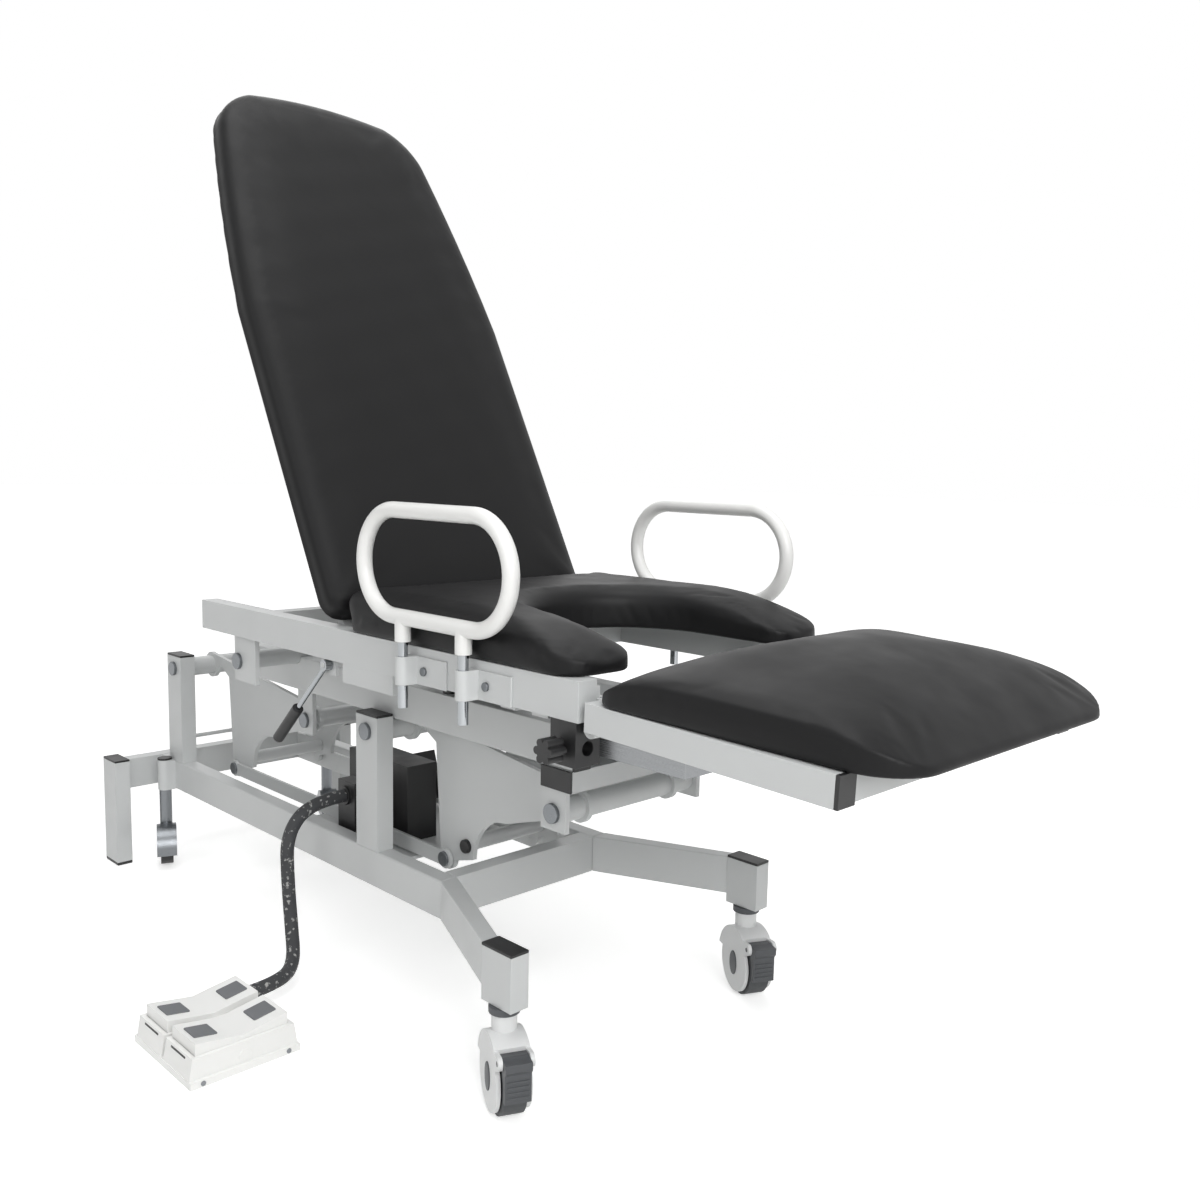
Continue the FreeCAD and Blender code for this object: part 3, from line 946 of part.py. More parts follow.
def foot_section():
    """Foot rails with hinge lugs, cross tubes and end caps, built around the hinge."""
    parts, caps = [], []
    hinge = (0, 0)
    outer = S.seat_outer
    z = (0, S.foot_rail_height)
    rear, front = S.foot_rail_rear - S.foot_hinge_x, S.foot_rail_front - S.foot_hinge_x
    for name, side in SIDES:
        y = span(side, S.seat_inner, outer)
        rail = box(f"foot_rail_body_{name}", (rear, front), y, z)
        lug = rod(f"foot_lug_{name}", "Y", hinge, span(side, S.seat_inner, S.seat_inner + 18), S.foot_lug)
        bore = rod(f"foot_lug_bore_{name}", "Y", hinge, span(side, S.seat_inner - 1, S.seat_inner + 18),
                   S.foot_pin + S.running)
        parts.append(cut(f"foot_rail_{name}", fuse(f"foot_rail_lug_{name}", rail, lug), bore))
        caps.append(box(f"foot_cap_front_{name}", (front, front + S.foot_cap), y, z))
    wide = S.cross_width
    for name, x in (("mid", S.foot_cross_x - S.foot_hinge_x), ("front", front - wide - 1)):
        parts.append(box(f"foot_cross_{name}", (x, x + wide), both(S.seat_inner), (0, wide)))
    for obj in (node("foot_frame", *parts), node("foot_end_caps", *caps)):
        place(obj, (S.foot_hinge_x, 0, S.foot_hinge_z), -S.foot_drop)


def loop_handles():
    """White loops with sleeves, and their chrome rods."""
    for name, side in SIDES:
        y = S.loop_y * side
        tube, end, half = S.loop_tube, S.loop_end, S.loop_half
        yv, zv, xv = y.value, S.loop_z.value, S.loop_x.value
        reach, radius = half.value - end.value, end.value
        path = []
        corners = [Vector(xv - reach, yv, zv + radius), Vector(xv + reach, yv, zv + radius),
                   Vector(xv + reach, yv, zv - radius), Vector(xv - reach, yv, zv - radius)]
        bulge = radius * math.sqrt(0.5)
        for sign, top, bottom in ((1, corners[1], corners[2]), (-1, corners[0], corners[3])):
            centre = xv + sign * reach
            side_point = Vector(centre + sign * radius, yv, zv)
            path.append(Part.Arc(top, Vector(centre + sign * bulge, yv, zv + bulge), side_point).toShape())
            path.append(Part.Arc(side_point, Vector(centre + sign * bulge, yv, zv - bulge), bottom).toShape())
        path.append(Part.makeLine(corners[0], corners[1]))
        path.append(Part.makeLine(corners[3], corners[2]))
        ring = [Part.Wire(Part.__sortEdges__(path))]
        section = Part.Wire([Part.makeCircle(tube.value, corners[0], Vector(1, 0, 0))])
        swept = ring[0].makePipeShell([section], True, False)
        blank = DOC.addObject("Part::Feature", f"loop_ring_{name}")
        blank.Shape = swept
        sleeves = [rod(f"loop_sleeve_{tag}_{name}", "Z", (x, y), (S.loop_sleeve_low, S.loop_z - end), tube)
                   for tag, x in (("rear", S.loop_rod_rear), ("front", S.loop_rod_front))]
        node(f"loop_handle_{name}", fuse(f"loop_body_{name}", blank, *sleeves))
        rods = [rod(f"loop_rod_{tag}_{name}", "Z", (x, y), (S.loop_rod_low, S.loop_sleeve_low), S.loop_rod_radius)
                for tag, x in (("rear", S.loop_rod_rear), ("front", S.loop_rod_front))]
        node(f"loop_rods_{name}", *rods)


def knobs():
    """Star knobs whose stems clamp the leg-holder rods."""
    for name, side in SIDES:
        at = (S.clamp_x, S.clamp_bore_z)
        stem = rod(f"knob_stem_{name}", "Y", at, span(side, S.knob_tip, S.knob_inner), S.knob_stem)
        head = span(side, S.knob_inner, S.knob_outer)
        parts = [stem, rod(f"knob_core_{name}", "Y", at, head, S.knob_core)]
        for index in range(6):
            angle = math.radians(60 * index)
            centre = (at[0] + S.knob_core * math.cos(angle), at[1] + S.knob_core * math.sin(angle))
            parts.append(rod(f"knob_lobe_{index}_{name}", "Y", centre, head, S.knob_lobe))
        node(f"clamp_knob_{name}", fuse(f"knob_{name}", *parts))


def tray():
    """Open stainless tray with a flange."""
    x, y = (S.tray_rear, S.tray_front), both(S.tray_half)
    rim_top = S.tray_rim_z + S.tray_rim
    shell = box("tray_shell", x, y, (S.tray_low, rim_top))
    flange = box("tray_flange_plate", (S.tray_rear - S.tray_flange, S.tray_front + S.tray_flange),
                 both(S.tray_half + S.tray_flange_side), (S.tray_rim_z, rim_top))
    wall = S.tray_wall
    room = box("tray_room", (x[0] + wall, x[1] - wall), (y[0] + wall, y[1] - wall), (S.tray_low + wall, rim_top + 1))
    node("tray", cut("tray_bowl", fuse("tray_body", shell, flange), room))


def release_lever():
    """Release lever with its grip."""
    dx, dz = S.lever_bend_x - S.lever_x, S.lever_bend_z - S.lever_z
    length = Size(math.hypot(dx.value, dz.value), f"hypot({dx.text}; {dz.text})")
    angle = Size(math.degrees(math.atan2(dz.value, dx.value)), f"atan2({dz.text}; {dx.text})")
    eye = rod("lever_eye_body", "Y", (0, 0), both(S.lever_eye_half), S.lever_eye)
    bar = rod("lever_bar", "X", (0, 0), (0, length), S.lever_radius)
    bore = rod("lever_bore", "Y", (0, 0), both(S.lever_eye_half * 2), S.lever_radius + S.running)
    lever = node("release_lever", cut("lever_body", fuse("lever_blank", eye, bar), bore))
    place(lever, (S.lever_x, -S.lever_y, S.lever_z), angle)
    body = rod("grip_body", "X", (0, 0), (length, length + S.grip_length), S.grip_radius)
    grip = node("release_lever_grip", gather("grip", [body]))
    place(grip, (S.lever_x, -S.lever_y, S.lever_z), angle)


def foot_switch():
    """Foot switch base with two pockets and the two rockers."""
    x = (S.switch_rear, S.switch_front)
    y = (S.switch_near, S.switch_far)
    middle = (S.switch_rear + S.switch_front) / 2
    pockets = [(S.switch_rear + S.switch_wall, middle - S.switch_web / 2),
               (middle + S.switch_web / 2, S.switch_front - S.switch_wall)]
    inner_y = (S.switch_near + S.switch_wall, S.switch_far - S.switch_wall)
    centre_y = (S.switch_near + S.switch_far) / 2
    axis = (centre_y, S.rocker_axis_z)
    draft, foot = S.switch_draft, S.switch_foot
    flange = box("switch_flange_plate", (x[0] - foot, x[1] + foot), (y[0] - foot, y[1] + foot), (0, S.switch_flange))
    sides = [(y[0] - draft, S.switch_flange - 1), (y[1] + draft, S.switch_flange - 1), (y[1], S.switch_top),
             (y[0], S.switch_top)]
    half_gap = S.switch_web / 4
    blocks = [prism("switch_block_0", "YZ", sides, (x[0], middle - half_gap)),
              prism("switch_block_1", "YZ", sides, (middle + half_gap, x[1]))]
    gland = rod("switch_gland_boss", "Y", (S.hose_x, S.hose_z), (y[1] - S.switch_wall, y[1] + S.switch_gland),
                S.hose_radius + 2.4)
    body = fuse("switch_body", flange, gland, *blocks)
    tools = [box(f"switch_pocket_{index}", pocket, inner_y, (S.switch_floor, S.switch_top + 1))
             for index, pocket in enumerate(pockets)]
    tools += [rod(f"switch_bore_{index}", "X", axis,
                  (pocket[0] - S.rocker_pin_length, pocket[1] + S.rocker_pin_length), S.rocker_pin + S.running)
              for index, pocket in enumerate(pockets)]
    node("footswitch_base", cut("switch_case", body, *tools))
    gap = S.rocker_gap
    for index, pocket in enumerate(pockets):
        wide = (pocket[0] + gap, pocket[1] - gap)
        near, far = inner_y[0] + gap * 2, inner_y[1] - gap * 2
        outline = [(near, S.rocker_low), (far, S.rocker_low), (far, S.rocker_high), (centre_y, S.rocker_mid),
                   (near, S.rocker_high)]
        tread = prism(f"rocker_tread_{index}", "YZ", outline, wide)
        hub = rod(f"rocker_hub_{index}", "X", axis, wide, S.rocker_hub)
        pin = rod(f"rocker_pin_{index}", "X", axis, (wide[0] - S.rocker_pin_length + gap,
                                                     wide[1] + S.rocker_pin_length - gap), S.rocker_pin)
        node(f"footswitch_rocker_{index + 1}", fuse(f"rocker_{index}", tread, hub, pin))


def hose():
    """Hose from the foot switch over the near rail to the gland of the junction box."""
    points = [Vector(*point) for point in hose_points()]
    edges, start = [], points[0]
    for index in range(1, len(points) - 1):
        here = points[index]
        before, after = points[index - 1] - here, points[index + 1] - here
        half = before.getAngle(after) / 2
        reach = 0.45 * min(before.Length, after.Length)
        radius = reach * math.tan(half)
        before.normalize()
        after.normalize()
        first, last = here + before * reach, here + after * reach
        middle = before + after
        middle.normalize()
        mid = here + middle * (radius / math.sin(half) - radius)
        edges.append(Part.makeLine(start, first))
        edges.append(Part.Arc(first, mid, last).toShape())
        start = last
        print(f"hose bend {index}: radius {radius:.1f} mm")
    edges.append(Part.makeLine(start, points[-1]))
    path = Part.Wire(edges)
    section = Part.Wire([Part.makeCircle(S.hose_radius.value, points[0], points[1] - points[0])])
    tube = path.makePipeShell([section], True, True)
    expected = math.pi * S.hose_radius.value ** 2 * path.Length
    print(f"hose length {path.Length:.1f} mm, volume ratio {tube.Volume / expected:.4f}")
    feature("hose", tube)


def hose_points():
    """Corner points of the hose route."""
    x, z, far = S.hose_x.value, S.hose_z.value, S.switch_far.value + S.switch_gland.value
    end_x, end_y, end_z = S.gland_x.value, S.gland_face.value, S.gland_z.value
    drop = S.hose_drop_y.value
    return [(x, far, z), (x, far + 52, z), (x - 40, drop - 22, z), (end_x + 12, drop, z + 46), (end_x + 2, drop, z + 122),
            (end_x, drop, end_z - 44), (end_x, drop + 44, end_z), (end_x, end_y, end_z)]


def write_parts():
    """Check every object and write one STEP file per sub-part."""
    DOC.recompute()
    for obj in DOC.Objects:
        if "Invalid" in obj.State or "Error" in obj.State:
            raise RuntimeError(f"{obj.Label}: {obj.State}")
    os.makedirs("parts", exist_ok=True)
    for obj in NODES:
        if obj.Shape.isNull() or not obj.Shape.isValid():
            raise RuntimeError(f"{obj.Label}: no valid shape")
        obj.Shape.exportStep(f"parts/{obj.Label}.step")
        bounds = obj.Shape.BoundBox
        print(f"{obj.Label}: {len(obj.Shape.Solids)} solids, volume {obj.Shape.Volume / 1000:.1f} cm3, "
              f"x {bounds.XMin:.1f} {bounds.XMax:.1f} y {bounds.YMin:.1f} {bounds.YMax:.1f} "
              f"z {bounds.ZMin:.1f} {bounds.ZMax:.1f}")


base_frame()
castors()
arm("front_arm", S.pivot_front_x, S.front_lift_half)
arm("rear_arm", S.pivot_rear_x, S.rear_lift_half)
tie_bars()
lift_frame()
struts()
seat_frame()
seat_cushion()
back_cushion()
foot_cushion()
backrest()
foot_section()
loop_handles()
knobs()
tray()
release_lever()
foot_switch()
hose()
write_parts()
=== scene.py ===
"""Studio scene of a height-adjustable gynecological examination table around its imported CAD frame.

Sizes of the table's pieces are in millimetres, and those of the camera, the lamps and the floor in metres.
"""

import json
import logging
import math
from abc import ABC, abstractmethod
from dataclasses import dataclass
from enum import Enum

import bpy
import numpy as np
from mathutils import Matrix, Vector
from mathutils.geometry import delaunay_2d_cdt

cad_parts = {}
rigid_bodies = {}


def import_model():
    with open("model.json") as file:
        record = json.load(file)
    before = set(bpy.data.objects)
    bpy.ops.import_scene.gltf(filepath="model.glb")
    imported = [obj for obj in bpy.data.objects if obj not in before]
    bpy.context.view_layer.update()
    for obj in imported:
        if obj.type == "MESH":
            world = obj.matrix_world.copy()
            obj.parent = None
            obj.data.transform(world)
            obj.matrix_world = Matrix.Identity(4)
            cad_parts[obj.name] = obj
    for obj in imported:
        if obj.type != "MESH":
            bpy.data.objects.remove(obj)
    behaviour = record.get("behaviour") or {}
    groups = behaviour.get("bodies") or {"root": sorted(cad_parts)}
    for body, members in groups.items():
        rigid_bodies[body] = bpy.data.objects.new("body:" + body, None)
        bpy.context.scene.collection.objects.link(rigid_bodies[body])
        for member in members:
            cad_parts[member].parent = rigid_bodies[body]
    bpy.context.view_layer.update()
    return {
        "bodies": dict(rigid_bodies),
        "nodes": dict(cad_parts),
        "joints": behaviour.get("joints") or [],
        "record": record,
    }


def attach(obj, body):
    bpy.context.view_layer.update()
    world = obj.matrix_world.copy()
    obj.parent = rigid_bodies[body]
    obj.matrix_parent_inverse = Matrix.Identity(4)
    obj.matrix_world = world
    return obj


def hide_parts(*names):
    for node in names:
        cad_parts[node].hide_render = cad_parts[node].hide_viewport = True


LOG = logging.getLogger("examination_table")
MM = 0.001
WHITE = (1.0, 1.0, 1.0, 1.0)
# A length that counts as none, and how a triangle net is filled: only inside its outline, with points this
# near to each other merged.
TINY = 1e-9
INSIDE_ONLY = 1
NET_MERGE = 1e-5


class Side(Enum):
    """Sides of the table, each with the sign of its Y."""

    RIGHT = -1.0
    LEFT = 1.0

    @property
    def label(self) -> str:
        """Return the side's name as nodes and bodies use it."""
        return self.name.lower()


# Headings of the two front castors at rest, in degrees.
FRONT_HEADINGS = {Side.RIGHT: -25.0, Side.LEFT: -27.0}


class Slot(Enum):
    """Material slots of the record."""

    FRAME_PAINT = "frame_paint"
    BLACK_PLASTIC = "black_plastic"
    STEEL = "steel"
    CHROME = "chrome"
    STAINLESS = "stainless"
    CASTOR_GREY = "castor_grey"
    CASTOR_TREAD = "castor_tread"
    WHITE_PLASTIC = "white_plastic"
    VINYL = "vinyl"
    HOSE_SLEEVE = "hose_sleeve"


class Extra(Enum):
    """Finishes of details that share a record slot with something else."""

    PEDAL_RUBBER = "pedal_rubber"
    CASTOR_DARK = "castor_dark"


class Relief(Enum):
    """Patterns of fine relief, each with its texture node."""

    GRAIN = "ShaderNodeTexNoise"
    CELLS = "ShaderNodeTexVoronoi"


def linear(code: str) -> tuple[float, float, float, float]:
    """Turn an sRGB hex code into a linear colour.

    Args:
        code: Colour such as "#2b2b2d".

    Returns:
        Linear red, green, blue and alpha.
    """
    parts = [int(code[i:i + 2], 16) / 255.0 for i in (1, 3, 5)]
    values = [v / 12.92 if v <= 0.04045 else ((v + 0.055) / 1.055) ** 2.4 for v in parts]
    return (*values, 1.0)


def add_node(tree: bpy.types.NodeTree, kind: str, inputs: dict | None = None,
             **settings: object) -> bpy.types.Node:
    """Add a shader node with its settings and links.

    Args:
        tree: Node tree that takes the node.
        kind: Node type.
        inputs: Socket names or numbers, each with a value to set or an output socket to link.
        settings: Node properties to set.

    Returns:
        The new node.
    """
    node = tree.nodes.new(kind)
    for name, value in settings.items():
        setattr(node, name, value)
    for name, value in (inputs or {}).items():
        if isinstance(value, bpy.types.NodeSocket):
            tree.links.new(value, node.inputs[name])
        else:
            node.inputs[name].default_value = value
    return node


@dataclass(frozen=True)
class Finish:
    """One surface finish: its colour, its gloss and its fine relief, with patterns sized in millimetres.

    noise_span is the part of a noise texture's range that its values mostly fill, and fleck_span the part of
    it over which a flecked finish turns from its own colour to the flecks'.
    """

    name: str
    colour: str
    roughness: float
    metallic: float = 0.0
    coat: float = 0.0
    specular: float = 0.5
    relief: Relief = Relief.GRAIN
    relief_mm: float = 1.0
    relief_depth_mm: float = 0.02
    relief_share: float = 0.5
    gloss_patch_mm: float = 30.0
    gloss_spread: float = 0.05
    fleck: str = ""
    fleck_mm: float = 4.5
    fleck_detail: float = 3.0
    fleck_span: tuple[float, float] = (0.58, 0.66)
    noise_span: tuple[float, float] = (0.3, 0.7)
    streak: float = 1.0

    def build(self) -> bpy.types.Material:
        """Make the material.

        Returns:
            The material with its nodes.
        """
        material = bpy.data.materials.new(self.name)
        material.use_nodes = True
        tree = material.node_tree
        surface = tree.nodes["Principled BSDF"]
        constants = {"Base Color": linear(self.colour), "Roughness": self.roughness,
                     "Metallic": self.metallic, "Coat Weight": self.coat,
                     "Specular IOR Level": self.specular}
        for socket, value in constants.items():
            surface.inputs[socket].default_value = value
        where = add_node(tree, "ShaderNodeTexCoord").outputs["Object"]
        drawn = add_node(tree, "ShaderNodeMapping", {"Vector": where, "Scale": (self.streak, 1.0, 1.0)})
        where = drawn.outputs["Vector"]
        texture = add_node(tree, self.relief.value, {"Vector": where, "Scale": 1.0 / (self.relief_mm * MM)})
        bump = add_node(tree, "ShaderNodeBump", {"Height": texture.outputs[0], "Strength": self.relief_share,
                                                 "Distance": self.relief_depth_mm * MM})
        tree.links.new(bump.outputs["Normal"], surface.inputs["Normal"])
        patches = add_node(tree, "ShaderNodeTexNoise", {"Vector": where,
                                                        "Scale": 1.0 / (self.gloss_patch_mm * MM)})
        gloss = add_node(tree, "ShaderNodeMapRange", {"Value": patches.outputs[0],
                                                      "From Min": self.noise_span[0],
                                                      "From Max": self.noise_span[1],
                                                      "To Min": self.roughness - self.gloss_spread,
                                                      "To Max": self.roughness + self.gloss_spread})
        tree.links.new(gloss.outputs["Result"], surface.inputs["Roughness"])
        if self.fleck:
            specks = add_node(tree, "ShaderNodeTexNoise", {"Vector": where,
                                                           "Scale": 1.0 / (self.fleck_mm * MM),
                                                           "Detail": self.fleck_detail})
            share = add_node(tree, "ShaderNodeMapRange", {"Value": specks.outputs[0],
                                                          "From Min": self.fleck_span[0],
                                                          "From Max": self.fleck_span[1]})
            ramp = add_node(tree, "ShaderNodeValToRGB", {"Fac": share.outputs["Result"]})
            ramp.color_ramp.elements[0].color = linear(self.colour)
            ramp.color_ramp.elements[1].color = linear(self.fleck)
            tree.links.new(ramp.outputs["Color"], surface.inputs["Base Color"])
        return material


# Real patterns finer than about 1 mm are drawn coarser than they are, so that they show at the render's size.
# So are the sleeve's flecks, which are single yarns of about 1 mm.
FINISHES = {
    # Baked powder coat: an even grey skin with faint orange peel and a soft, slightly uneven sheen.
    Slot.FRAME_PAINT: Finish("grey powder coat", "#cbcdcd", 0.42, coat=0.12, relief_mm=1.6,
                             relief_depth_mm=0.03, gloss_patch_mm=40.0, gloss_spread=0.06),
    # Injection-moulded polyamide: black with a spark-eroded grain that breaks the highlights up.
    Slot.BLACK_PLASTIC: Finish("black moulded polyamide", "#151516", 0.48, relief_mm=0.8,
                               relief_depth_mm=0.03),
    # Zinc-plated steel: a bluish grey metal with blotchy gloss from the plating bath.
    Slot.STEEL: Finish("zinc-plated steel", "#7c7f82", 0.34, metallic=1.0, relief_mm=2.0,
                       relief_depth_mm=0.004, gloss_patch_mm=3.0, gloss_spread=0.07),
    # Chrome plate: a near mirror with the least waviness of the tube under it. Its colour is darker than
    # bright chrome's, a painted reflection of dark surroundings.
    Slot.CHROME: Finish("polished chrome plate", "#9fa2a5", 0.1, metallic=1.0, relief_mm=24.0,
                        relief_share=0.2, gloss_patch_mm=20.0, gloss_spread=0.02),
    # Brushed stainless sheet: fine streaks along X that draw each highlight out across them.
    Slot.STAINLESS: Finish("brushed stainless steel", "#8d8f91", 0.3, metallic=1.0, relief_depth_mm=0.01,
                           relief_share=0.4, gloss_patch_mm=1.0, gloss_spread=0.08, streak=0.02),
    # Moulded polypropylene: pale grey, satin, with a fine even grain.
    Slot.CASTOR_GREY: Finish("grey moulded polypropylene", "#e4e5e5", 0.4, relief_mm=0.9, relief_share=0.4),
    # Thermoplastic rubber tread: dark grey and dull, a little dusty.
    Slot.CASTOR_TREAD: Finish("grey thermoplastic rubber", "#4a4c4e", 0.7, relief_mm=1.2,
                              relief_depth_mm=0.04, gloss_patch_mm=9.0, gloss_spread=0.08),
    # Moulded ABS: warm white with a smooth, faintly glossy skin.
    Slot.WHITE_PLASTIC: Finish("white moulded ABS", "#eeeeec", 0.34, coat=0.1, relief_mm=1.4,
                               relief_depth_mm=0.015, relief_share=0.4),
    # Upholstery vinyl: charcoal with an embossed leather-like grain and broad soft highlights.
    Slot.VINYL: Finish("charcoal embossed vinyl", "#101011", 0.47, specular=0.2, relief=Relief.CELLS,
                       relief_mm=1.3, relief_depth_mm=0.05, gloss_patch_mm=60.0),
    # Braided polyester sleeve: dull dark grey with pale yarns showing as flecks.
    Slot.HOSE_SLEEVE: Finish("braided polyester sleeve", "#3a3b3d", 0.75, relief=Relief.CELLS, relief_mm=2.4,
                             relief_depth_mm=0.35, relief_share=0.7, fleck="#a6a6a4", fleck_mm=8.0),
    # Moulded rubber tread pads: mid grey and quite dull.
    Extra.PEDAL_RUBBER: Finish("grey moulded rubber", "#717376", 0.8, relief_mm=0.9,
                               relief_depth_mm=0.05),
    # Glass-filled polyamide: dark grey, satin, with a visible grain.
    Extra.CASTOR_DARK: Finish("dark glass-filled polyamide", "#4b4d50", 0.5, relief_mm=0.9,
                              relief_depth_mm=0.03, relief_share=0.4),
}
Materials = dict[Slot | Extra, bpy.types.Material]


def inward_of(ring: np.ndarray) -> np.ndarray:
    """Return the inward normals of a closed outline that runs anticlockwise.

    The tangent is the chord between each point's neighbours, and the normal is that turned left.

    Args:
        ring: (n, 2) points.

    Returns:
        (n, 2) unit normals.
    """
    tangent = np.roll(ring, -1, axis=0) - np.roll(ring, 1, axis=0)
    tangent /= np.linalg.norm(tangent, axis=1)[:, None]
    return np.column_stack([-tangent[:, 1], tangent[:, 0]])


def ring_faces(rows: int, count: int) -> np.ndarray:
    """Return the quads that join each ring of a grid to the next one up.

    Args:
        rows: Number of rings.
        count: Points in each ring.

    Returns:
        (n, 4) vertex numbers, facing outward for rings that run anticlockwise.
    """
    index = np.arange(rows * count).reshape(rows, count)
    after = np.roll(index, -1, axis=1)
    return np.stack([index[:-1], after[:-1], after[1:], index[1:]], axis=-1).reshape(-1, 4)


def link_mesh(name: str, vertices: np.ndarray, faces: list, material: bpy.types.Material) -> bpy.types.Object:
    """Make a smooth mesh object at the origin.

    Args:
        name: Object name.
        vertices: (n, 3) places in metres.
        faces: Vertex numbers of each face.
        material: Its material.

    Returns:
        The linked object.
    """
    mesh = bpy.data.meshes.new(name)
    mesh.from_pydata(vertices.tolist(), [], faces)
    mesh.validate()
    mesh.polygons.foreach_set("use_smooth", np.ones(len(mesh.polygons), dtype=bool))
    mesh.materials.append(material)
    obj = bpy.data.objects.new(name, mesh)
    bpy.context.scene.collection.objects.link(obj)
    return obj


def paint_beyond(mesh: bpy.types.Mesh, material: bpy.types.Material, axis: str, limit: float) -> None:
    """Give a second material to the faces that lie beyond a limit along an axis, on either side.

    Args:
        mesh: The mesh.
        material: The second material.
        axis: Axis name.
        limit: Distance from the origin in millimetres.
    """
    mesh.materials.append(material)
    centres = np.empty(3 * len(mesh.polygons))
    mesh.polygons.foreach_get("center", centres)
    beyond = np.abs(centres.reshape(-1, 3)[:, "xyz".index(axis)]) > limit * MM
    mesh.polygons.foreach_set("material_index", beyond.astype(np.int32))


def read_vectors(mesh: bpy.types.Mesh, field: str) -> np.ndarray:
    """Return a vector of every vertex of a mesh.

    Args:
        mesh: The mesh.
        field: Name of the vector, such as "co" or "normal".

    Returns:
        (n, 3) array.
    """
    values = np.empty(3 * len(mesh.vertices))
    mesh.vertices.foreach_get(field, values)
    return values.reshape(-1, 3)


def oval(half_x: float, half_y: float, count: int = 40) -> np.ndarray:
    """Return an ellipse: the half axes times the cosine and sine of evenly spaced angles.

    Args:
        half_x: Half axis along X.
        half_y: Half axis along Y.
        count: Number of points.

    Returns:
        (count, 2) points, anticlockwise.
    """
    angle = np.linspace(0.0, 2.0 * np.pi, count, endpoint=False)
    return np.column_stack([half_x * np.cos(angle), half_y * np.sin(angle)])


def rounded_rectangle(length: float, width: float, radius: float, count: int = 8) -> np.ndarray:
    """Return a rectangle whose corners are quarter circles round four centres.

    Args:
        length: Size along X.
        width: Size along Y.
        radius: Corner radius.
        count: Points on each corner.

    Returns:
        (4 * count, 2) points, anticlockwise.
    """
    angle = np.radians(np.linspace(0.0, 90.0, count)[None, :] + 90.0 * np.arange(4)[:, None])
    signs = np.array([(1.0, 1.0), (-1.0, 1.0), (-1.0, -1.0), (1.0, -1.0)])
    centres = signs * (np.array([length, width]) / 2.0 - radius)
    return (centres[:, None, :] + radius * np.stack([np.cos(angle), np.sin(angle)], axis=-1)).reshape(-1, 2)


@dataclass(frozen=True)
class Boss:
    """A low raised form with a rounded rim, carried by a body.

    The outline goes straight up, and over the last rim it draws in along a quarter circle: at angle t from 0
    to 90 degrees the inset is rim * (1 - cos t) and the height is height - rim * (1 - sin t).
    """

    name: str
    outline: np.ndarray
    height: float
    rim: float
    matrix: Matrix
    body: str
    slot: Slot
    rim_rings: int = 5

    def build(self, material: bpy.types.Material) -> bpy.types.Object:
        """Make the boss and let it ride.

        Args:
            material: Its material.

        Returns:
            The boss.
        """
        turn = np.linspace(0.0, np.pi / 2.0, self.rim_rings)
        inset = np.concatenate([[0.0], self.rim * (1.0 - np.cos(turn))])
        level = np.concatenate([[0.0], self.height - self.rim * (1.0 - np.sin(turn))])
        rows, count = len(inset), len(self.outline)
        plan = self.outline[None] + inward_of(self.outline)[None] * inset[:, None, None]
        up = np.broadcast_to(level[:, None, None], (rows, count, 1))
        points = np.concatenate([plan, up], axis=2).reshape(-1, 3) * MM
        frame = np.array(self.matrix)
        points = points @ frame[:3, :3].T + frame[:3, 3]
        ends = [list(range(count))[::-1], list(range((rows - 1) * count, rows * count))]
        obj = link_mesh(self.name, points, ring_faces(rows, count).tolist() + ends, material)
        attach(obj, self.body)
        return obj


def at(x: float, y: float, z: float) -> Matrix:
    """Return the shift to a place given in millimetres.

    Args:
        x: Place along X.
        y: Place along Y.
        z: Place along Z.

    Returns:
        The matrix in metres.
    """
    return Matrix.Translation(Vector((x, y, z)) * MM)


def arc(centre: tuple[float, float], radius: float, start: float, end: float,
        step: float = 4.0) -> np.ndarray:
    """Return points on an arc: the centre plus the radius times the cosine and sine of each angle.

    Args:
        centre: Arc centre.
        radius: Arc radius.
        start: First angle in degrees.
        end: Last angle in degrees.
        step: Spacing along the arc.

    Returns:
        (n, 2) points from start to end.
    """
    count = max(4, int(abs(math.radians(end - start)) * radius / step))
    angle = np.radians(np.linspace(start, end, count + 1))
    return np.array(centre) + radius * np.column_stack([np.cos(angle), np.sin(angle)])


def arc_through(first: tuple, mid: tuple, last: tuple, count: int = 24) -> np.ndarray:
    """Return points on the circle through three points, whose centre is equally far from them.

    Args:
        first: Start of the arc.
        mid: A point on the arc.
        last: End of the arc.
        count: Number of spaces.

    Returns:
        (count + 1, 2) points from first to last.
    """
    a, b, c = (np.array(p, dtype=float) for p in (first, mid, last))
    centre = np.linalg.solve(2.0 * np.array([b - a, c - a]), np.array([b @ b - a @ a, c @ c - a @ a]))
    start, middle, end = (math.atan2(*(p - centre)[::-1]) for p in (a, b, c))
    sweep = (end - start) % (2.0 * math.pi)
    if (middle - start) % (2.0 * math.pi) > sweep:
        sweep -= 2.0 * math.pi
    angle = start + np.linspace(0.0, sweep, count + 1)
    return centre + np.linalg.norm(a - centre) * np.column_stack([np.cos(angle), np.sin(angle)])


def even_outline(*runs: np.ndarray, step: float = 4.0, least: float = 1e-6) -> np.ndarray:
    """Join runs of points into a closed outline with even spacing along its length.

    Args:
        runs: Runs of points in order, anticlockwise.
        step: Spacing wanted.
        least: Distance up to which two points count as one.

    Returns:
        (n, 2) points.
    """
    points = np.vstack([*runs, runs[0][:1]])
    steps = np.linalg.norm(np.diff(points, axis=0), axis=1)
    points = points[np.concatenate(([True], steps > least))]
    along = np.concatenate(([0.0], np.cumsum(np.linalg.norm(np.diff(points, axis=0), axis=1))))
    places = np.linspace(0.0, along[-1], int(along[-1] / step), endpoint=False)
    return np.column_stack([np.interp(places, along, points[:, axis]) for axis in (0, 1)])


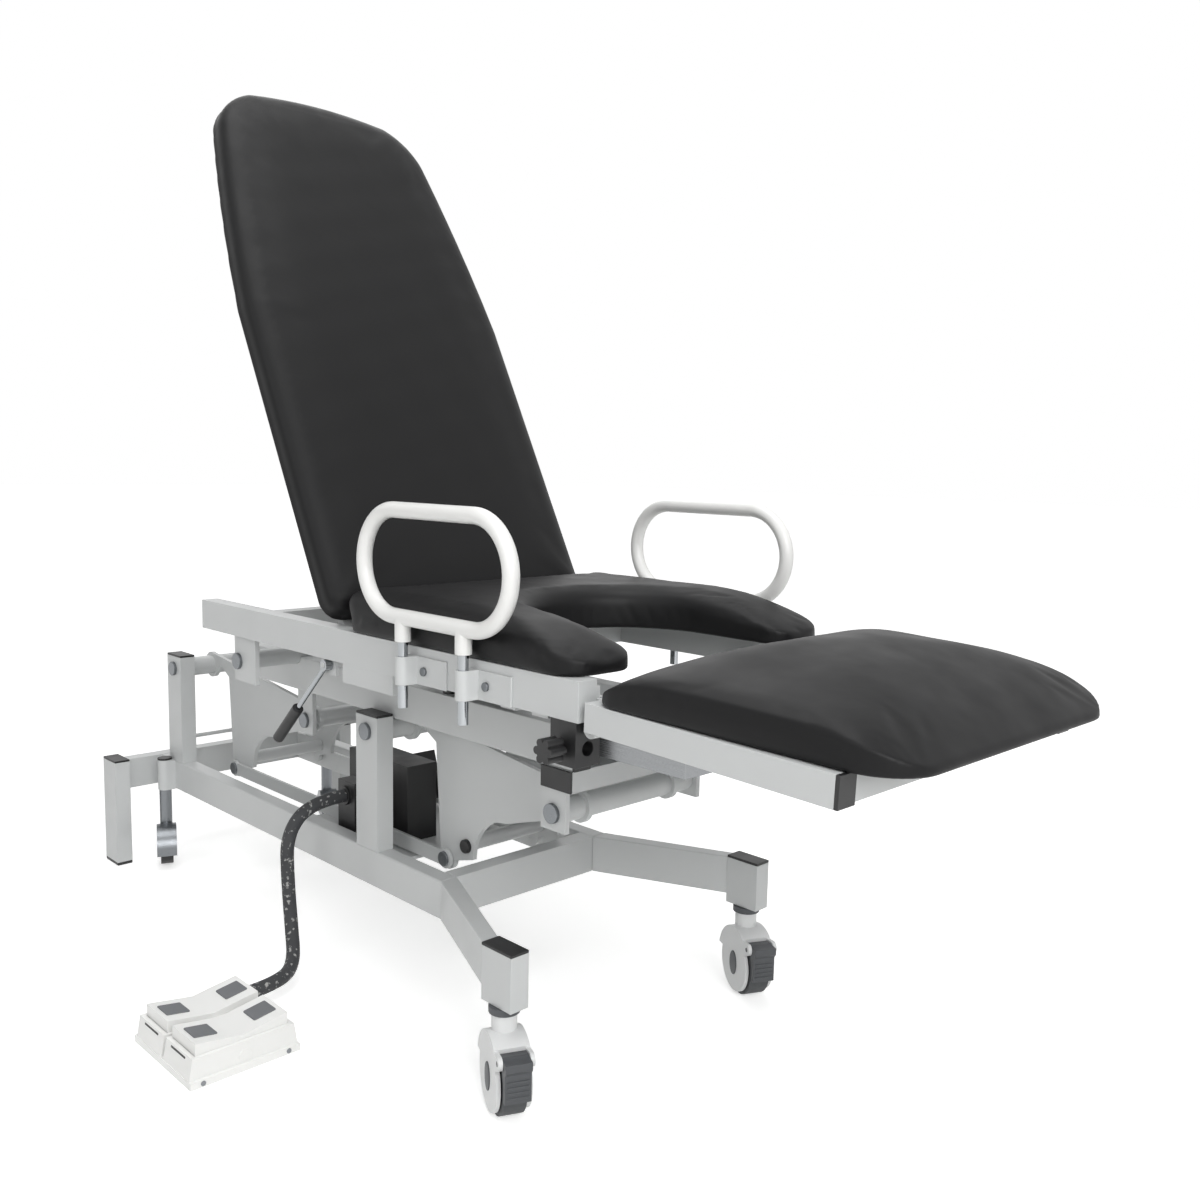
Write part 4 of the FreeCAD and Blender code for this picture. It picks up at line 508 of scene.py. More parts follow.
def gap_to(points: np.ndarray, ring: np.ndarray) -> np.ndarray:
    """Return each point's distance to the nearest point of an outline.

    Args:
        points: (n, 2) points.
        ring: (m, 2) outline.

    Returns:
        n distances.
    """
    return np.sqrt(((points[:, None, :] - ring[None, :, :]) ** 2).sum(axis=2).min(axis=1))


def is_inside(points: np.ndarray, ring: np.ndarray) -> np.ndarray:
    """Tell which points lie inside an outline, by counting the edges that a line along X crosses.

    Args:
        points: (n, 2) points.
        ring: (m, 2) outline.

    Returns:
        n truth values.
    """
    after = np.roll(ring, -1, axis=0)
    x, y = points[:, :1], points[:, 1:]
    spans = (ring[:, 1] > y) != (after[:, 1] > y)
    rise = np.where(after[:, 1] == ring[:, 1], 1.0, after[:, 1] - ring[:, 1])
    meets = ring[:, 0] + (y - ring[:, 1]) * (after[:, 0] - ring[:, 0]) / rise
    return (spans & (x < meets)).sum(axis=1) % 2 == 1


@dataclass(frozen=True)
class Pad(ABC):
    """A foam pad on a board, under a tight cover.

    Its side rises from a drawn-in hem, and its top is a height over the plan. At distance d from the outline
    that is crest - drop * (crest / full) ** drop_power * (1 - roll), where roll is a quarter of a rounded
    square: (1 - (1 - d / reach) ** roll_power) ** (1 / roll_power). A ripple, the product of two long sine
    waves, keeps the cover from being perfectly even. Then cloth simulation swells the form a little.
    """

    name: str
    node: str
    body: str
    full: float
    drop: float
    reach: float
    fill: float = 0.9
    net_step: float = 12.0
    hem_inset: float = 6.0
    hem_height: float = 5.0
    hem_rings: int = 5
    side_levels: tuple[float, ...] = (0.3, 0.6, 0.85, 1.0)
    roll_rings: int = 10
    roll_share: float = 0.75
    roll_power: float = 2.2
    drop_power: float = 1.5
    net_margin: float = 0.45
    ripple: float = 0.3
    ripple_length: float = 150.0
    ripple_skew: tuple[float, float, float] = (0.7, 1.3, 0.4)
    voxel: float = 6.0
    shrink: float = 1.2
    pressure: float = 4.0
    swell_cap: float = 1.9
    steps: int = 20

    @abstractmethod
    def outline(self) -> np.ndarray:
        """Return the pad's plan outline in millimetres, anticlockwise."""

    @abstractmethod
    def crest(self, points: np.ndarray, gap: np.ndarray) -> np.ndarray:
        """Return the height of the top before its edge is rolled.

        Args:
            points: (n, 2) plan points.
            gap: Their distances from the outline.

        Returns:
            n heights.
        """

    @abstractmethod
    def place(self, points: np.ndarray) -> np.ndarray:
        """Carry points of the plan and height into the table's frame.

        Args:
            points: (n, 3) points in millimetres.

        Returns:
            (n, 3) points in millimetres.
        """

    def top(self, points: np.ndarray, gap: np.ndarray) -> np.ndarray:
        """Return the height of the top, by the formula of the class.

        Args:
            points: (n, 2) plan points.
            gap: Their distances from the outline.

        Returns:
            n heights.
        """
        crest = self.crest(points, gap)
        edge = np.clip(gap / self.reach, 0.0, 1.0)
        roll = (1.0 - (1.0 - edge) ** self.roll_power) ** (1.0 / self.roll_power)
        along, across = (2.0 * np.pi * points / self.ripple_length).T
        skew = self.ripple_skew
        wave = np.sin(along + skew[0] * across) * np.sin(skew[1] * across - skew[2] * along)
        lost = self.drop * (crest / self.full) ** self.drop_power * (1.0 - roll)
        return crest - lost + self.ripple * edge * wave

    def side_rows(self, ring: np.ndarray) -> np.ndarray:
        """Return the rings from the hem over the side and round the edge.

        The hem is a quarter ellipse, hem_inset wide and hem_height high. The side goes straight up by its
        levels, and the edge's rings draw in as 1 - cos t over a quarter turn, at the height of the top.

        Args:
            ring: (n, 2) outline.

        Returns:
            (rows, n, 3) points.
        """
        count = len(ring)
        hem = np.linspace(0.0, np.pi / 2.0, self.hem_rings)[:-1]
        rise = np.array(self.side_levels)
        turn = np.linspace(0.0, np.pi / 2.0, self.roll_rings)[1:-1]
        roll = self.roll_share * self.reach * (1.0 - np.cos(turn))
        inset = np.concatenate([self.hem_inset * (1.0 - np.sin(hem)), np.zeros(len(rise)), roll])
        plan = ring[None] + inward_of(ring)[None] * inset[:, None, None]
        wall = self.top(ring, np.zeros(count))
        low = np.broadcast_to(self.hem_height * (1.0 - np.cos(hem))[:, None], (len(hem), count))
        side = self.hem_height + (wall[None] - self.hem_height) * rise[:, None]
        edge = self.top(plan[-len(roll):].reshape(-1, 2), np.repeat(roll, count))
        heights = np.vstack([low, side, edge.reshape(len(roll), count)])
        return np.concatenate([plan, heights[..., None]], axis=2)

    def net(self, ring: np.ndarray, rim: np.ndarray) -> tuple[np.ndarray, np.ndarray]:
        """Fill the top inside the last ring with a triangle net on staggered points.

        Args:
            ring: (n, 2) outline.
            rim: (n, 2) last ring of the edge.

        Returns:
            (m, 3) points inside the ring, and triangles that count the ring's points first.
        """
        low, high = rim.min(axis=0), rim.max(axis=0)
        x, y = np.meshgrid(np.arange(low[0], high[0], self.net_step),
                           np.arange(low[1], high[1], self.net_step))
        x = x + (np.arange(len(x)) % 2)[:, None] * self.net_step / 2.0
        points = np.column_stack([x.ravel(), y.ravel()])
        points = points[is_inside(points, rim)]
        points = points[gap_to(points, rim) > self.net_margin * self.net_step]
        flat = np.vstack([rim, points]).tolist()
        triangles = delaunay_2d_cdt(flat, [], [list(range(len(rim)))], INSIDE_ONLY, NET_MERGE)[2]
        heights = self.top(points, gap_to(points, ring))
        return np.column_stack([points, heights]), np.array(triangles)

    def swell(self, obj: bpy.types.Object) -> None:
        """Let the cover swell by cloth simulation from a slightly smaller form.

        A point's freedom grows from 0 at the board to 1 at twice the hem's height. The form shrinks by it,
        and points below a half are held. The others move with the cloth, by no more than the cap.

        Args:
            obj: The pad, flat on its board.
        """
        scene = bpy.context.scene
        mesh = obj.data
        bpy.context.view_layer.objects.active = obj
        mesh.remesh_voxel_size = self.voxel * MM
        bpy.ops.object.voxel_remesh()
        free = np.clip(read_vectors(mesh, "co")[:, 2:] / (2.0 * self.hem_height * MM), 0.0, 1.0)
        start = read_vectors(mesh, "co") - self.shrink * MM * free * read_vectors(mesh, "normal")
        mesh.vertices.foreach_set("co", start.ravel())
        board = obj.vertex_groups.new(name="board")
        board.add(np.flatnonzero(free[:, 0] < 0.5).tolist(), 1.0, "REPLACE")
        cloth = obj.modifiers.new("cover", "CLOTH")
        cloth.settings.vertex_group_mass = board.name
        cloth.settings.use_pressure = True
        cloth.settings.uniform_pressure_force = self.pressure
        cloth.settings.effector_weights.gravity = 0.0
        cloth.point_cache.frame_end = self.steps
        for step in range(1, self.steps + 1):
            scene.frame_set(step)
        shift = read_vectors(obj.evaluated_get(bpy.context.evaluated_depsgraph_get()).data, "co") - start
        obj.modifiers.remove(cloth)
        scene.frame_set(1)
        length = np.linalg.norm(shift, axis=1, keepdims=True)
        LOG.info("%s swelled by %.1f mm at most and %.1f mm on average", obj.name, length.max() / MM,
                 length.mean() / MM)
        shift *= np.minimum(1.0, self.swell_cap * MM / np.maximum(length, TINY))
        mesh.vertices.foreach_set("co", (start + shift).ravel())
        mesh.polygons.foreach_set("use_smooth", np.ones(len(mesh.polygons), dtype=bool))
        soft = obj.modifiers.new("soft cover", "SUBSURF")
        soft.levels = 1
        soft.render_levels = 1

    def build(self, materials: Materials) -> list[bpy.types.Object]:
        """Args:
            materials: Materials of the table.

        Returns:
            The pad in a list.
        """
        ring = self.outline()
        rows = self.side_rows(ring)
        inner, triangles = self.net(ring, rows[-1, :, :2])
        count = len(ring)
        start = (len(rows) - 1) * count
        bottom = list(range(count))[::-1]
        faces = ring_faces(len(rows), count).tolist() + (triangles + start).tolist() + [bottom]
        vertices = np.vstack([rows.reshape(-1, 3), inner]) * MM
        obj = link_mesh(self.name, vertices, faces, materials[Slot.VINYL])
        self.swell(obj)
        points = read_vectors(obj.data, "co")
        obj.data.vertices.foreach_set("co", (self.place(points / MM) * MM).ravel())
        obj.data.update()
        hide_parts(self.node)
        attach(obj, self.body)
        return [obj]


@dataclass(frozen=True)
class SeatPad(Pad):
    """Seat pad with a U-shaped cut at its front, which falls away between the prongs."""

    name: str = "seat_upholstery"
    node: str = "seat_cushion"
    body: str = "seat_frame"
    full: float = 65.0
    drop: float = 31.0
    reach: float = 40.0
    rear: float = 262.0
    front: float = 740.0
    half: float = 262.0
    cut: float = 143.0
    cut_centre: float = 587.0
    front_corner: float = 46.0
    cut_corner: float = 34.0
    rear_corner: float = 22.0
    fall_start: float = 532.0
    fall: float = 42.0
    base: float = 584.3
    lean: float = 0.536
    lean_length: float = 90.0

    def outline(self) -> np.ndarray:
        """Return the outline: two rear corners, two prongs and the half circle between them.

        Returns:
            (n, 2) points.
        """
        rear, outer, tip = self.rear_corner, self.front_corner, self.cut_corner
        return even_outline(
            arc((self.rear + rear, -self.half + rear), rear, 180, 270),
            arc((self.front - outer, -self.half + outer), outer, 270, 360),
            arc((self.front - tip, -self.cut - tip), tip, 0, 90),
            arc((self.cut_centre, 0.0), self.cut, 270, 90),
            arc((self.front - tip, self.cut + tip), tip, 270, 360),
            arc((self.front - outer, self.half - outer), outer, 0, 90),
            arc((self.rear + rear, self.half - rear), rear, 90, 180))

    def crest(self, points: np.ndarray, gap: np.ndarray) -> np.ndarray:
        """Return the full height, less a parabola from the start of the fall to the front."""
        share = np.maximum(points[:, 0] - self.fall_start, 0.0) / (self.front - self.fall_start)
        return self.full - self.fall * share ** 2

    def place(self, points: np.ndarray) -> np.ndarray:
        """Set the pad on the seat rails, with its rear side leaning back along the backrest.

        The lean shifts a point back by its height, and fades as a parabola over lean_length.

        Args:
            points: (n, 3) points in millimetres.

        Returns:
            (n, 3) points in millimetres.
        """
        share = np.clip((self.rear + self.lean_length - points[:, 0]) / self.lean_length, 0.0, 1.0) ** 2
        x = points[:, 0] - self.lean * points[:, 2] * share
        return np.column_stack([x, points[:, 1], points[:, 2] + self.base])


@dataclass(frozen=True)
class BackPad(Pad):
    """Backrest pad with tapering shoulders and a soft rolled edge.

    taper, neck, temple and brow are places on its side: each is set in from the full half width, the first
    one is above the shoulder, and the others are below the head.
    """

    name: str = "back_upholstery"
    node: str = "backrest_cushion"
    body: str = "backrest"
    full: float = 45.0
    drop: float = 23.0
    reach: float = 40.0
    half: float = 260.0
    start: float = 36.0
    corner: float = 34.0
    shoulder: float = 577.0
    head: float = 1038.0
    taper: tuple[float, float] = (17.5, 178.0)
    neck: tuple[float, float] = (47.0, 93.0)
    temple: tuple[float, float] = (71.0, 48.0)
    brow: tuple[float, float] = (121.0, 12.0)
    voxel: float = 7.0
    crown: float = 5.0
    crown_reach: float = 120.0
    lean_deg: float = 28.2
    origin: tuple[float, float] = (234.0, 570.0)
    board: float = -29.7

    def outline(self) -> np.ndarray:
        """Return the outline: straight sides, a long taper, a rounded temple and a shallow crown.

        Returns:
            (n, 2) points.
        """
        taper = (self.half - self.taper[0], self.shoulder + self.taper[1])
        neck, temple, brow = ((self.half - inset, self.head - below)
                              for inset, below in (self.neck, self.temple, self.brow))
        side = np.vstack([arc_through((self.half, self.shoulder), taper, neck),
                          arc_through(neck, temple, brow)])
        crown = arc_through(brow, (0.0, self.head), (-brow[0], brow[1]))
        corner, low = self.corner, self.start + self.corner
        return even_outline(arc((self.half - corner, low), corner, 270, 360), side, crown,
                            side[::-1] * (-1.0, 1.0), arc((corner - self.half, low), corner, 180, 270))

    def crest(self, points: np.ndarray, gap: np.ndarray) -> np.ndarray:
        """Return the full height plus a crown that rises as a parabola away from the edge."""
        return self.full + self.crown * (1.0 - (1.0 - np.clip(gap / self.crown_reach, 0.0, 1.0)) ** 2)

    def place(self, points: np.ndarray) -> np.ndarray:
        """Turn the pad up about the backrest's own origin by its lean.

        Args:
            points: (n, 3) points in millimetres.

        Returns:
            (n, 3) points in millimetres.
        """
        lean = math.radians(self.lean_deg)
        along, out = points[:, 1], points[:, 2] + self.board
        return np.column_stack([self.origin[0] - along * math.sin(lean) + out * math.cos(lean), -points[:, 0],
                                self.origin[1] + along * math.cos(lean) + out * math.sin(lean)])


@dataclass(frozen=True)
class FootPad(Pad):
    """Foot pad, domed along and across, built round the hinge of the foot section."""

    name: str = "foot_upholstery"
    node: str = "foot_cushion"
    body: str = "foot_section"
    full: float = 86.0
    drop: float = 20.0
    reach: float = 36.0
    shrink: float = 0.7
    swell_cap: float = 1.1
    rear: float = 8.0
    front: float = 412.0
    rear_half: float = 262.0
    front_half: float = 246.0
    rear_corner: float = 40.0
    front_corner: float = 70.0
    end_fall: float = 74.0
    side_fall: float = 42.0
    least: float = 9.0
    hinge: tuple[float, float] = (758.0, 526.0)
    board: float = 35.3
    droop_deg: float = 2.0

    @property
    def slant(self) -> float:
        """Return how much the half width shrinks per millimetre of length."""
        return (self.rear_half - self.front_half) / (self.front - self.rear)

    def outline(self) -> np.ndarray:
        """Return the outline: a slightly tapering board with four round corners.

        Returns:
            (n, 2) points.
        """
        rear, tip = self.rear_corner, self.front_corner
        rear_y = self.rear_half - rear - self.slant * rear
        tip_y = self.front_half - tip + self.slant * tip
        return even_outline(
            arc((self.rear + rear, -rear_y), rear, 180, 270),
            arc((self.front - tip, -tip_y), tip, 270, 360),
            arc((self.front - tip, tip_y), tip, 0, 90),
            arc((self.rear + rear, rear_y), rear, 90, 180))

    def crest(self, points: np.ndarray, gap: np.ndarray) -> np.ndarray:
        """Return the full height, less a fall towards the ends and one towards the sides.

        Each fall is a parabola, and the two add as the cube root of their cubes, so the larger one leads.

        Args:
            points: (n, 2) plan points.
            gap: Their distances from the outline; not used.

        Returns:
            n heights.
        """
        middle, reach = (self.rear + self.front) / 2.0, (self.front - self.rear) / 2.0
        half = self.rear_half - self.slant * (points[:, 0] - self.rear)
        ends = self.end_fall * ((points[:, 0] - middle) / reach) ** 2
        sides = self.side_fall * (points[:, 1] / half) ** 2
        return np.maximum(self.full - (ends ** 3 + sides ** 3) ** (1.0 / 3.0), self.least)

    def place(self, points: np.ndarray) -> np.ndarray:
        """Turn the pad down about its hinge by the droop of the foot section.

        Args:
            points: (n, 3) points in millimetres.

        Returns:
            (n, 3) points in millimetres.
        """
        droop = math.radians(self.droop_deg)
        along, up = points[:, 0], points[:, 2] + self.board
        return np.column_stack([self.hinge[0] + along * math.cos(droop) + up * math.sin(droop), points[:, 1],
                                self.hinge[1] - along * math.sin(droop) + up * math.cos(droop)])


@dataclass(frozen=True)
class Hose:
    """Hose from the gland of the junction box over the near rail down to the foot switch."""

    radius: float = 11.0
    length: float = 452.6
    round_steps: int = 8
    long_steps: int = 24
    points: tuple = ((50, -138, 266), (50, -202, 266), (50, -246, 222), (52, -246, 146), (62, -246, 70),
                     (110, -268, 24), (150, -320, 24), (150, -372, 24))

    def build(self, materials: Materials) -> list[bpy.types.Object]:
        """Args:
            materials: Materials of the table.

        Returns:
            The hose in a list.
        """
        curve = bpy.data.curves.new("hose_tube", "CURVE")
        curve.dimensions = "3D"
        curve.bevel_depth = self.radius * MM
        curve.bevel_resolution = self.round_steps
        curve.use_fill_caps = True
        curve.resolution_u = self.long_steps
        places = np.array(self.points, dtype=float) * MM
        spline = curve.splines.new("NURBS")
        spline.points.add(len(places) - 1)
        spline.points.foreach_set("co", np.column_stack([places, np.ones(len(places))]).ravel())
        spline.order_u = 3
        spline.use_endpoint_u = True
        curve.materials.append(materials[Slot.HOSE_SLEEVE])
        obj = bpy.data.objects.new("hose_tube", curve)
        bpy.context.scene.collection.objects.link(obj)
        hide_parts("hose")
        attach(obj, "base")
        return [obj]


@dataclass(frozen=True)
class EdgeRounding:
    """Rounding of a CAD node's edges."""

    width: float = 0.8
    segments: int = 2


@dataclass(frozen=True)
class CadFrame:
    """The CAD nodes, which keep their shapes and get finishes and rounded edges.

    weld, in millimetres, joins the corners of loose triangles, flat_deg clears the lines within flat faces,
    and edges sharper than edge_deg are rounded.
    """

    nodes: dict[str, bpy.types.Object]
    record: dict
    tube: EdgeRounding = EdgeRounding(3.0, 3)
    box: EdgeRounding = EdgeRounding(6.0, 3)
    moulding: EdgeRounding = EdgeRounding(2.2, 3)
    plain: EdgeRounding = EdgeRounding()
    weld: float = 0.01
    flat_deg: float = 0.4
    edge_deg: float = 38.0
    tube_nodes: tuple[str, ...] = ("base_rails", "base_rear_frame", "base_front_frame", "base_uprights",
                                   "lift_rails", "seat_rails", "foot_frame")
    moulded_nodes: tuple[str, ...] = ("footswitch_base", "footswitch_rocker_1", "footswitch_rocker_2")
    steel_nodes: tuple[str, ...] = ("castor_rear_right", "castor_rear_left")

    def rounding(self, name: str) -> EdgeRounding:
        """Return the edge rounding of a node.

        Args:
            name: Node name.

        Returns:
            Its rounding.
        """
        if name in self.tube_nodes:
            return self.tube
        if name in self.moulded_nodes:
            return self.moulding
        return self.box if name == "control_box" else self.plain

    def dress(self, materials: Materials) -> list[bpy.types.Object]:
        """Give every node its material and its rounded edges.

        Args:
            materials: Materials of the table.

        Returns:
            The nodes.
        """
        slots = {entry["node"]: Slot(entry["material_slot"]) for entry in self.record["subparts"]}
        for name, obj in self.nodes.items():
            mesh = obj.data
            mesh.materials.clear()
            slot = Slot.STEEL if name in self.steel_nodes else slots[name]
            mesh.materials.append(materials[slot])
            if "custom_normal" in mesh.attributes:
                mesh.attributes.remove(mesh.attributes["custom_normal"])
            mesh.polygons.foreach_set("use_smooth", np.ones(len(mesh.polygons), dtype=bool))
            weld = obj.modifiers.new("weld", "WELD")
            weld.merge_threshold = self.weld * MM
            flat = obj.modifiers.new("flat faces", "DECIMATE")
            flat.decimate_type = "DISSOLVE"
            flat.angle_limit = math.radians(self.flat_deg)
            size = self.rounding(name)
            bevel = obj.modifiers.new("rounded edges", "BEVEL")
            bevel.width = size.width * MM
            bevel.segments = size.segments
            bevel.limit_method = "ANGLE"
            bevel.angle_limit = math.radians(self.edge_deg)
            bevel.harden_normals = True
            bevel.use_clamp_overlap = True
        return list(self.nodes.values())


@dataclass(frozen=True)
class FootSwitch:
    """Tread pads, end slots drawn as black strips of painted shade, screws and plug on the foot switch."""

    rocker_x: tuple[float, float] = (181.5, 266.5)
    axis_y: float = -455.0
    rocker_rise: float = 11.0
    rocker_half: float = 68.0
    rocker_mid: float = 46.0
    pad_size: float = 34.0
    pad_corner: float = 2.0
    pad_height: float = 2.4
    pad_rim: float = 0.9
    pad_sunk: float = 0.5
    pad_offset: float = 44.0
    slot_length: float = 44.0
    slot_width: float = 3.0
    slot_corner: float = 1.4
    slot_height: float = 0.5
    slot_rim: float = 0.2
    slot_place: tuple[float, float] = (-530.6, 35.0)
    wall_slope_deg: float = 9.2
    screw_radius: float = 3.6
    screw_points: int = 20
    screw_height: float = 1.6
    screw_rim: float = 0.7
    screw_y: tuple[float, float] = (-518.0, -392.0)
    flange_front: tuple[float, float] = (313.6, 5.2)
    plug_radius: float = 9.0
    plug_height: float = 1.2
    plug_rim: float = 0.6
    plug_place: tuple[float, float, float] = (307.7, -455.0, 20.0)

    def bosses(self) -> list[tuple[Boss, Slot | Extra]]:
        """Return every detail with its finish.

        Returns:
            Pairs of boss and finish.
        """
        slope = math.atan2(self.rocker_rise, self.rocker_half)
        pad_z = self.rocker_mid + self.pad_offset * math.tan(slope) - self.pad_sunk
        pad = rounded_rectangle(self.pad_size, self.pad_size, self.pad_corner)
        slot = rounded_rectangle(self.slot_length, self.slot_width, self.slot_corner)
        head = oval(self.screw_radius, self.screw_radius, self.screw_points)
        outward = Matrix.Rotation(math.radians(90.0 - self.wall_slope_deg), 4, "X")
        forward = Matrix.Rotation(math.pi / 2.0, 4, "Y")
        found = []
        for index, x in enumerate(self.rocker_x, start=1):
            for label, sign in (("near", -1.0), ("far", 1.0)):
                matrix = at(x, self.axis_y + sign * self.pad_offset, pad_z)
                matrix = matrix @ Matrix.Rotation(sign * slope, 4, "X")
                tread = Boss(f"rocker_pad_{index}_{label}", pad, self.pad_height, self.pad_rim, matrix,
                             f"rocker_{index}", Slot.BLACK_PLASTIC)
                found.append((tread, Extra.PEDAL_RUBBER))
            # Each end slot is a thin black strip on the switch's wall: painted shade that stands for the
            # opening.
            end = Boss(f"switch_slot_{index}", slot, self.slot_height, self.slot_rim,
                       at(x, *self.slot_place) @ outward, "base", Slot.BLACK_PLASTIC)
            found.append((end, Slot.BLACK_PLASTIC))
        for index, y in enumerate(self.screw_y, start=1):
            matrix = at(self.flange_front[0], y, self.flange_front[1]) @ forward
            screw = Boss(f"switch_screw_{index}", head, self.screw_height, self.screw_rim, matrix, "base",
                         Slot.STEEL)
            found.append((screw, Slot.STEEL))
        plug = Boss("switch_plug", oval(self.plug_radius, self.plug_radius), self.plug_height, self.plug_rim,
                    at(*self.plug_place) @ forward, "base", Slot.WHITE_PLASTIC)
        found.append((plug, Slot.WHITE_PLASTIC))
        return found

    def build(self, materials: Materials) -> list[bpy.types.Object]:
        """Make every detail of the switch.

        Args:
            materials: Materials of the table.

        Returns:
            The details.
        """
        return [boss.build(materials[finish]) for boss, finish in self.bosses()]


@dataclass(frozen=True)
class FrontCastor:
    """Dark swivel collar, hub ovals and pedal ridges of one front castor.

    hub holds an oval's half axes and height, and rib a ridge's two sides and height.
    """

    side: Side
    heading_deg: float
    nodes: dict[str, bpy.types.Object]
    post: tuple[float, float] = (616.0, 251.0)
    collar_low: float = 130.5
    axle: tuple[float, float] = (10.0, 50.0)
    flank: float = 23.8
    hub: tuple[float, float, float] = (12.0, 19.2, 1.6)
    hub_rim: float = 0.7
    rib: tuple[float, float, float] = (3.2, 29.0, 2.6)
    rib_corner: float = 1.4
    rib_rim: float = 0.9
    rib_foot: float = 69.7
    rib_levels: tuple[float, ...] = (49.0, 56.0, 63.0, 70.0)

    def paint(self, materials: Materials) -> None:
        """Set the dark finish on the collar's faces and on the brake pedal.

        Args:
            materials: Materials of the table.
        """
        fork = self.nodes[f"castor_front_{self.side.label}"].data
        paint_beyond(fork, materials[Extra.CASTOR_DARK], "z", self.collar_low)
        self.nodes[f"castor_front_pedal_{self.side.label}"].data.materials[0] = materials[Extra.CASTOR_DARK]

    def build(self, materials: Materials) -> list[bpy.types.Object]:
        """Make the hub ovals and the pedal ridges.

        Args:
            materials: Materials of the table.

        Returns:
            The details.
        """
        self.paint(materials)
        name = self.side.label
        turn = Matrix.Rotation(math.radians(self.heading_deg), 4, "Z")
        stem = at(self.post[0], self.side.value * self.post[1], 0.0) @ turn
        oval_ring = oval(*self.hub[:2])
        rib_ring = rounded_rectangle(*self.rib[:2], self.rib_corner)
        found = []
        for label, flank in (("inner", 1.0), ("outer", -1.0)):
            matrix = stem @ at(self.axle[0], flank * self.flank, self.axle[1])
            matrix = matrix @ Matrix.Rotation(-flank * math.pi / 2.0, 4, "X")
            found.append(Boss(f"castor_hub_{name}_{label}", oval_ring, self.hub[2], self.hub_rim, matrix,
                              f"castor_front_{name}_fork", Slot.CASTOR_GREY))
        for index, level in enumerate(self.rib_levels, start=1):
            matrix = stem @ at(self.rib_foot, 0.0, level) @ Matrix.Rotation(math.pi / 2.0, 4, "Y")
            found.append(Boss(f"pedal_rib_{name}_{index}", rib_ring, self.rib[2], self.rib_rim, matrix,
                              f"castor_front_{name}_brake", Slot.BLACK_PLASTIC))
        return [boss.build(materials[Extra.CASTOR_DARK]) for boss in found]


@dataclass(frozen=True)
class LiftArms:
    """Steel bolt heads on the tie bars, and rubber buffers on the plates of the front arm."""

    nodes: dict[str, bpy.types.Object]
    bar_outer: float = 99.2
    plate_outer: float = 92.0
    buffer_place: tuple[float, float] = (331.0, 240.0)
    buffer_radius: float = 11.0
    buffer_height: float = 7.0
    buffer_rim: float = 2.5

    def build(self, materials: Materials) -> list[bpy.types.Object]:
        """Set the bolt heads' finish and make the buffers.

        Args:
            materials: Materials of the table.

        Returns:
            The buffers.
        """
        paint_beyond(self.nodes["tie_bars"].data, materials[Slot.STEEL], "y", self.bar_outer)
        x, z = self.buffer_place
        ring = oval(self.buffer_radius, self.buffer_radius)
        found = []
        for side in Side:
            outward = Matrix.Rotation(-side.value * math.pi / 2.0, 4, "X")
            matrix = at(x, side.value * self.plate_outer, z) @ outward
            found.append(Boss(f"arm_buffer_{side.label}", ring, self.buffer_height, self.buffer_rim, matrix,
                              "front_arm", Slot.BLACK_PLASTIC))
        return [boss.build(materials[Slot.BLACK_PLASTIC]) for boss in found]


@dataclass(frozen=True)
class PhotoCamera:
    """Camera at the photograph's viewing angle."""

    location: tuple[float, float, float] = (1.6876, -1.1495, 0.8344)
    azimuth_deg: float = 45.4
    pitch_deg: float = 6.8
    roll_deg: float = 1.2
    lens: float = 33.984
    sensor: float = 36.0
    far: float = 100.0

    def matrix(self) -> Matrix:
        """Work out the camera's place and its right, up and back directions, which are the columns.

        Returns:
            The camera's matrix.
        """
        a, e, r = (math.radians(v) for v in (self.azimuth_deg, self.pitch_deg, self.roll_deg))
        forward = Vector((-math.sin(a) * math.cos(e), math.cos(a) * math.cos(e), -math.sin(e)))
        right = Vector((math.cos(a), math.sin(a), 0.0))
        up = right.cross(forward)
        across = right * math.cos(r) + up * math.sin(r)
        upward = up * math.cos(r) - right * math.sin(r)
        turn = Matrix((across, upward, -forward)).transposed().to_4x4()
        return Matrix.Translation(Vector(self.location)) @ turn

    def build(self) -> None:
        """Add the camera and make it the scene's."""
        data = bpy.data.cameras.new("photo camera")
        data.lens = self.lens
        data.sensor_width = self.sensor
        data.clip_end = self.far
        camera = bpy.data.objects.new("photo camera", data)
        camera.matrix_world = self.matrix()
        bpy.context.scene.collection.objects.link(camera)
        bpy.context.scene.camera = camera


@dataclass(frozen=True)
class Lamp:
    """A square soft lamp aimed at the middle of the table."""

    name: str
    place: tuple[float, float, float]
    power: float
    size: float
    aim: tuple[float, float, float] = (0.2, 0.0, 0.6)

    def build(self) -> None:
        """Add the lamp."""
        light = bpy.data.lights.new(self.name, "AREA")
        light.energy = self.power
        light.size = self.size
        obj = bpy.data.objects.new(self.name, light)
        obj.location = self.place
        obj.rotation_euler = (Vector(self.aim) - Vector(self.place)).to_track_quat("-Z", "Y").to_euler()
        bpy.context.scene.collection.objects.link(obj)


